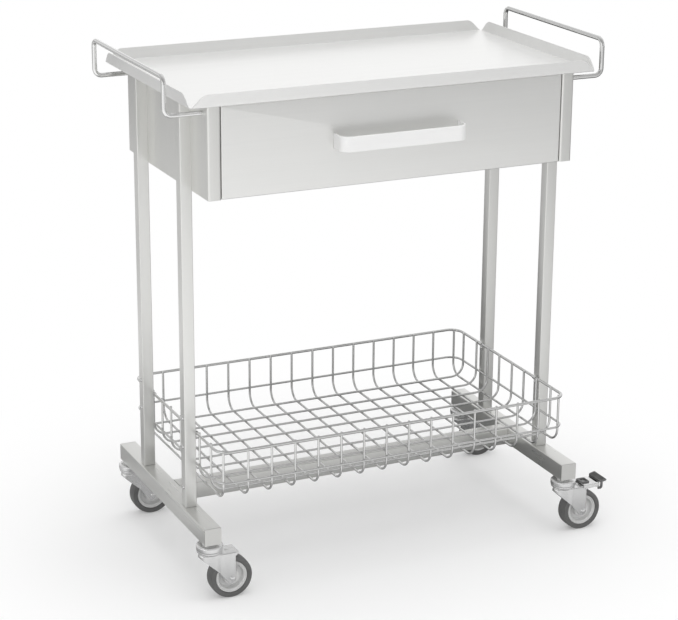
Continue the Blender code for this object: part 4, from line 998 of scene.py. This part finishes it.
def tabShell(b, start, bed):
    # A frame round an opening: outer and inner rounded rectangles, softened at the top
    soft, top, corner, holeCorner = b["tabSoft"], bed + b["tabThick"], b["tabCorner"], b["tabHoleCorner"]
    hole = (b["tabLength"] - b["tabBar"] - b["tabEnd"], b["tabWidth"] - 2 * b["tabArm"])
    outer, inner = (start + b["tabLength"] / 2, 0), (start + b["tabBar"] + hole[0] / 2, 0)
    long, wide = b["tabLength"], b["tabWidth"]
    # Length, width, corner, centre and height of each
    rings = [(long, wide, corner, outer, bed), (long, wide, corner, outer, top - soft),
             (long - 0.6 * soft, wide - 0.6 * soft, corner - 0.25 * soft, outer, top - 0.3 * soft),
             (long - 2 * soft, wide - 2 * soft, corner - 0.75 * soft, outer, top),
             (hole[0] + soft, hole[1] + soft, holeCorner + 0.25 * soft, inner, top),
             (*hole, holeCorner, inner, top - 0.5 * soft), (*hole, holeCorner, inner, bed)]
    grid = [atHeight(roundedSquare(x, y, bend) + centre, z) for x, y, bend, centre, z in rings]
    return surface(np.stack(grid), wrapRows=True, wrapColumns=True)


def makeBrake(b):
    seat = np.array([legX, -(tube["footLength"] / 2 - caster["inset"]), tube["footBottom"]])
    axis = seat + (b["pinX"], 0, -caster["forkTop"] - b["pinDrop"])
    outer = caster["forkWidth"] / 2 + b["sideGap"] + b["sheet"]
    low = b["pinDrop"] + b["rise"]
    top = low + b["sheet"]
    # The lever's channel, bent over the fork, and the tongue that carries the pedal
    route = [(-outer, top - b["flange"]), (-outer, top), (outer, top), (outer, top - b["flange"])]
    route = roundedRoute(route, b["leverBend"], 5)
    channel = foldedSheet(route, b["sheet"], b["leverStart"] - b["pinX"], b["leverEnd"] - b["pinX"], "YZ", side=-1)
    pedalX = b["pedalStart"] - b["pinX"]
    run, rise = math.cos(b["tilt"]), math.sin(b["tilt"])
    reach = b["tongueReach"] * b["pedalLength"]
    route = [(pedalX - 4 * b["sheet"], low), (pedalX, low), (pedalX + reach * run, low + reach * rise)]
    tongue = foldedSheet(roundedRoute(route, b["tongueBend"], 4), b["sheet"], -b["tongue"] / 2, b["tongue"] / 2, "XZ")
    addPiece("brakeLever", [moved(channel, axis), moved(tongue, axis)], metal["zinc"], "brake", "zinc", ["brake_lever"],
             edge=0.0003)
    pin = boltShell(2 * (outer + b["gap"]), b["pin"], b["pinHead"], b["pinHeadHeight"], 20)
    addPiece("brakePin", [moved(pin, axis, "Y")], metal["zinc"], "front_right_fork_body", "zinc", ["brake_pin"])
    # The pedal: a soft-edged pad with ribs across it, and a hook round each side of the lever
    bed = top + b["gap"]
    halfPad, padTop = b["pedalWidth"] / 2, bed + b["pedalThick"]
    shells = [softBox((pedalX, -halfPad, bed), (pedalX + b["pedalLength"], halfPad, padTop), b["padEdge"])]
    for i in range(b["ribs"]):
        x, y = pedalX + b["ribStart"] + i * b["ribPitch"], halfPad - b["ribInset"]
        low, high = (x, -y, padTop - b["ribRise"]), (x + b["ribWidth"], y, padTop + b["ribRise"])
        shells.append(softBox(low, high, b["ribEdge"], 2))
    shells = [tilted(shell, -b["tilt"], np.array([pedalX, 0, bed])) for shell in shells]
    inner, hookX, hookZ = outer + b["gap"], pedalX + b["hookSheet"], bed - b["hookDrop"]
    route = [(hookX, bed + b["pedalThick"] / 2), (hookX, hookZ), (pedalX - b["hookReach"], hookZ)]
    route = roundedRoute(route, b["hookBend"], 6)
    for side in (-1, 1):
        shells.append(foldedSheet(route, b["hookSheet"], side * inner, side * halfPad, "XZ", side=-1))
    addPiece("brakePedal", [moved(shell, axis) for shell in shells], pedalPlastic, "brake", "pedal", ["brake_pedal"],
             sharp=45)
    start = b["tabStart"] - b["pinX"]
    tab = moved(tabShell(b, start, bed), axis)
    addPiece("brakeTab", [tab], pedalPlastic, "brake", "pedal", ["brake_tab"], sharp=45)


makeBrake(brake)
print("brake made")

# Studio
studio = {
    "floorHalf": 14.0, "whiteOver": (0.42, 0.9), "whiteLeast": 0.24, "floorColour": (0.96, 0.96, 0.96),
    "ambient": 0.75,
    "lamps": (
        ("topLamp", (0.1, -0.05, 3.2), 2.0, 33.0),
        ("keyLamp", (-0.9, -2.4, 2.8), 1.8, 14.0),
    ),
    # The floor's painted reflection, which metal sees: distance from the middle, and brightness there, low under the
    # trolley as painted shade
    "glow": ((0.2, 0.36), (0.3, 0.5), (0.36, 0.8), (0.6, 0.82), (1.1, 1.24), (1.9, 1.12), (2.7, 1.16), (3.5, 0.9),
             (5.0, 0.8)),
    # and what is left of it from front to rear, with painted shade behind the trolley: distance behind the middle, and
    # share
    "rear": ((-0.25, 1.0), (0.2, 1.0), (0.45, 0.4), (0.75, 0.5), (1.05, 0.76), (1.7, 0.48), (2.3, 0.64), (3.6, 0.44)),
    "glowHalf": 7.0, "glowRight": 0.54, "rightOver": (-0.4, 2.3), "across": 0.6,
    # In that painted reflection the rear right is painted dark and a painted highlight strip lies to the left, each by
    # the direction from the middle
    "darkSide": (0.85, 0.53), "dark": 0.8, "darkOver": (0.3, 0.75), "darkUntil": (3.0, 7.0), "darkFar": 0.2,
    "brightSide": (-0.93, -0.36), "bright": 1.15, "brightOver": (0.8, 0.97), "brightFrom": (0.62, 0.8), "most": 1.15,
    # and painted dark too are the floor straight behind, which undersides of rods show, and a patch of painted shade
    # beside each left caster
    "behind": 0.85, "behindLeft": (-0.55, -0.3), "behindRear": (0.5, 0.85),
    "patch": (-0.55, -0.1), "patchDark": 0.6, "patchOver": (0.1, 0.24),
    # The sky in reflections: the sine of the height looked at, and brightness; then the share left in front and left
    "sky": ((-0.02, 0.6), (0.13, 1.2), (0.23, 1.2), (0.34, 0.8), (0.6, 0.8), (0.9, 0.9)),
    "skyFront": 0.6, "frontOver": (-0.5, 0.5), "skyLeft": 0.68, "leftOver": (-0.6, 0.35), "stripOver": (0.8, 0.95),
}


def seenRays(tree):
    rays = node(tree, "ShaderNodeLightPath").outputs
    glossy = maths(tree, "MAXIMUM", rays["Is Glossy Ray"], rays["Is Transmission Ray"])
    return maths(tree, "MAXIMUM", rays["Is Camera Ray"], glossy)


def ranged(tree, value, over, low, high):
    # A soft step from low to high while the value runs over a span
    links = {"Value": value, "From Min": over[0], "From Max": over[1], "To Min": low, "To Max": high}
    return node(tree, "ShaderNodeMapRange", links, interpolation_type="SMOOTHSTEP").outputs[0]


def tones(tree, value, stops):
    # A ramp through pairs of a value and the brightness there, kept under one until its end
    low, high, top = stops[0][0], stops[-1][0], max(tone for at, tone in stops)
    share = maths(tree, "DIVIDE", maths(tree, "SUBTRACT", value, low), high - low)
    ramp = node(tree, "ShaderNodeValToRGB", {"Fac": share})
    marks = ramp.color_ramp.elements
    for at, tone in stops[1:-1]:
        marks.new((at - low) / (high - low))
    for mark, (at, tone) in zip(marks, stops):
        mark.color = (tone / top, tone / top, tone / top, 1)
    return maths(tree, "MULTIPLY", ramp.outputs["Color"], top)


def towards(tree, way, side):
    # The cosine between a level direction and a side
    return node(tree, "ShaderNodeVectorMath", {0: way, 1: (*side, 0)}, operation="DOT_PRODUCT").outputs["Value"]


def flatGround(name, half, height, steps, material):
    side = np.linspace(-half, half, steps)
    x, y = np.meshgrid(side, side, indexing="ij")
    mesh = meshFrom(name, [surface(np.stack([x, y, 0 * x + height], -1))])
    mesh.materials.append(material)
    piece = bpy.data.objects.new(name, mesh)
    bpy.context.scene.collection.objects.link(piece)
    return piece


def makeFloor(s):
    # Pale paint that keeps the shadows, and turns pure white away from the trolley
    material, tree, shader, position = newMaterial("floorPaint", 0.0)
    feed(tree, shader.inputs, {"Base Color": (*s["floorColour"], 1), "Roughness": 0.9, "Specular IOR Level": 0.0})
    distance = node(tree, "ShaderNodeVectorMath", {0: position}, operation="LENGTH").outputs["Value"]
    away = ranged(tree, distance, s["whiteOver"], s["whiteLeast"], 1)
    white = node(tree, "ShaderNodeEmission", {"Color": (1, 1, 1, 1), "Strength": 1.0})
    blend = node(tree, "ShaderNodeMixShader", {0: maths(tree, "MULTIPLY", away, seenRays(tree)),
                                               1: shader.outputs[0], 2: white.outputs[0]})
    tree.links.new(blend.outputs[0], tree.nodes["Material Output"].inputs["Surface"])
    flatGround("floor", s["floorHalf"], 0.0, 5, material)


def makePaintedReflections(s):
    # A card that glows only in reflections and paints the floor as metal sees it: painted shade under the trolley,
    # bright around it, dimmer to the rear and the right, with painted dark patches and a painted highlight strip
    material, tree, shader, position = newMaterial("paintedReflectionGlow", 0.0)
    tree.nodes.remove(shader)
    distance = node(tree, "ShaderNodeVectorMath", {0: position}, operation="LENGTH").outputs["Value"]
    way = node(tree, "ShaderNodeVectorMath", {0: position}, operation="NORMALIZE").outputs[0]
    part = node(tree, "ShaderNodeSeparateXYZ", {0: position}).outputs
    sideways = maths(tree, "MULTIPLY", maths(tree, "ABSOLUTE", part["X"]), s["across"])
    # Painted shade under the trolley, then brightness round it
    around = tones(tree, maths(tree, "MAXIMUM", sideways, maths(tree, "ABSOLUTE", part["Y"])), s["glow"])
    # Painted shade behind the trolley
    rear = tones(tree, part["Y"], s["rear"])
    right = ranged(tree, part["X"], s["rightOver"], 1, s["glowRight"])
    # Painted dark towards the rear right, fading far away
    dark = maths(tree, "MULTIPLY", ranged(tree, towards(tree, way, s["darkSide"]), s["darkOver"], 0, s["dark"]),
                 ranged(tree, distance, s["darkUntil"], 1, s["darkFar"]))
    # and painted dark straight behind, where undersides of rods look
    behind = maths(tree, "MULTIPLY", ranged(tree, part["X"], s["behindLeft"], 0, s["behind"]),
                   ranged(tree, part["Y"], s["behindRear"], 0, 1))
    dark = maths(tree, "MAXIMUM", dark, behind)
    # A patch of painted shade beside each left caster
    apart = node(tree, "ShaderNodeVectorMath", {0: position, 1: (*s["patch"], 0)}, operation="DISTANCE")
    dark = maths(tree, "MAXIMUM", dark, ranged(tree, apart.outputs["Value"], s["patchOver"], s["patchDark"], 0))
    dark = maths(tree, "SUBTRACT", 1.0, dark)
    # A painted highlight strip to the left, for rounded edges to catch
    bright = ranged(tree, towards(tree, way, s["brightSide"]), s["brightOver"], 0, s["bright"])
    bright = maths(tree, "MULTIPLY", bright, ranged(tree, distance, s["brightFrom"], 0, 1))
    strength = maths(tree, "MULTIPLY", maths(tree, "MULTIPLY", around, rear), maths(tree, "MULTIPLY", right, dark))
    strength = maths(tree, "MINIMUM", maths(tree, "MAXIMUM", strength, bright), s["most"])
    paint = node(tree, "ShaderNodeEmission", {"Color": (1, 1, 1, 1), "Strength": strength})
    tree.links.new(paint.outputs[0], tree.nodes["Material Output"].inputs["Surface"])
    # The card is seen in reflections alone
    piece = flatGround("paintedReflectionCard", s["glowHalf"], 0.002, 3, material)
    for ray in ("camera", "diffuse", "shadow", "transmission"):
        setattr(piece, "visible_" + ray, False)


def makeLight(s):
    scene = bpy.context.scene
    world = bpy.data.worlds.new("studioWorld")
    scene.world = world
    world.use_nodes = True
    tree = world.node_tree
    background = tree.nodes["Background"]
    feed(tree, background.inputs, {"Color": (1, 1, 1, 1), "Strength": s["ambient"]})
    way = node(tree, "ShaderNodeTexCoord").outputs["Generated"]
    part = node(tree, "ShaderNodeSeparateXYZ", {0: way}).outputs
    level = maths(tree, "MULTIPLY", tones(tree, part["Z"], s["sky"]),
                  ranged(tree, part["Y"], s["frontOver"], s["skyFront"], 1))
    level = maths(tree, "MULTIPLY", level, ranged(tree, part["X"], s["leftOver"], s["skyLeft"], 1))
    strip = ranged(tree, towards(tree, way, s["brightSide"]), s["stripOver"], 0, s["bright"])
    level = maths(tree, "MAXIMUM", level, strip)
    rays = node(tree, "ShaderNodeLightPath").outputs
    sky = node(tree, "ShaderNodeBackground", {"Color": (1, 1, 1, 1), "Strength": level})
    white = node(tree, "ShaderNodeBackground", {"Color": (1, 1, 1, 1), "Strength": 1.0})
    blend = node(tree, "ShaderNodeMixShader", {0: rays["Is Glossy Ray"], 1: background.outputs[0], 2: sky.outputs[0]})
    clear = maths(tree, "MAXIMUM", rays["Is Camera Ray"], rays["Is Transmission Ray"])
    blend = node(tree, "ShaderNodeMixShader", {0: clear, 1: blend.outputs[0], 2: white.outputs[0]})
    tree.links.new(blend.outputs[0], tree.nodes["World Output"].inputs["Surface"])
    for name, at, size, power in s["lamps"]:
        data = bpy.data.lights.new(name, "AREA")
        data.shape = "SQUARE"
        data.size = size
        data.energy = power
        lamp = bpy.data.objects.new(name, data)
        lamp.location = at
        lamp.rotation_euler = (Vector((0, 0, 0.45)) - Vector(at)).to_track_quat("-Z", "Y").to_euler()
        # The metal takes its reflections from the sky and the painted reflection card over the floor alone
        lamp.visible_glossy = False
        scene.collection.objects.link(lamp)
    scene.view_settings.view_transform = "Standard"


makeFloor(studio)
makePaintedReflections(studio)
makeLight(studio)
print("studio made")
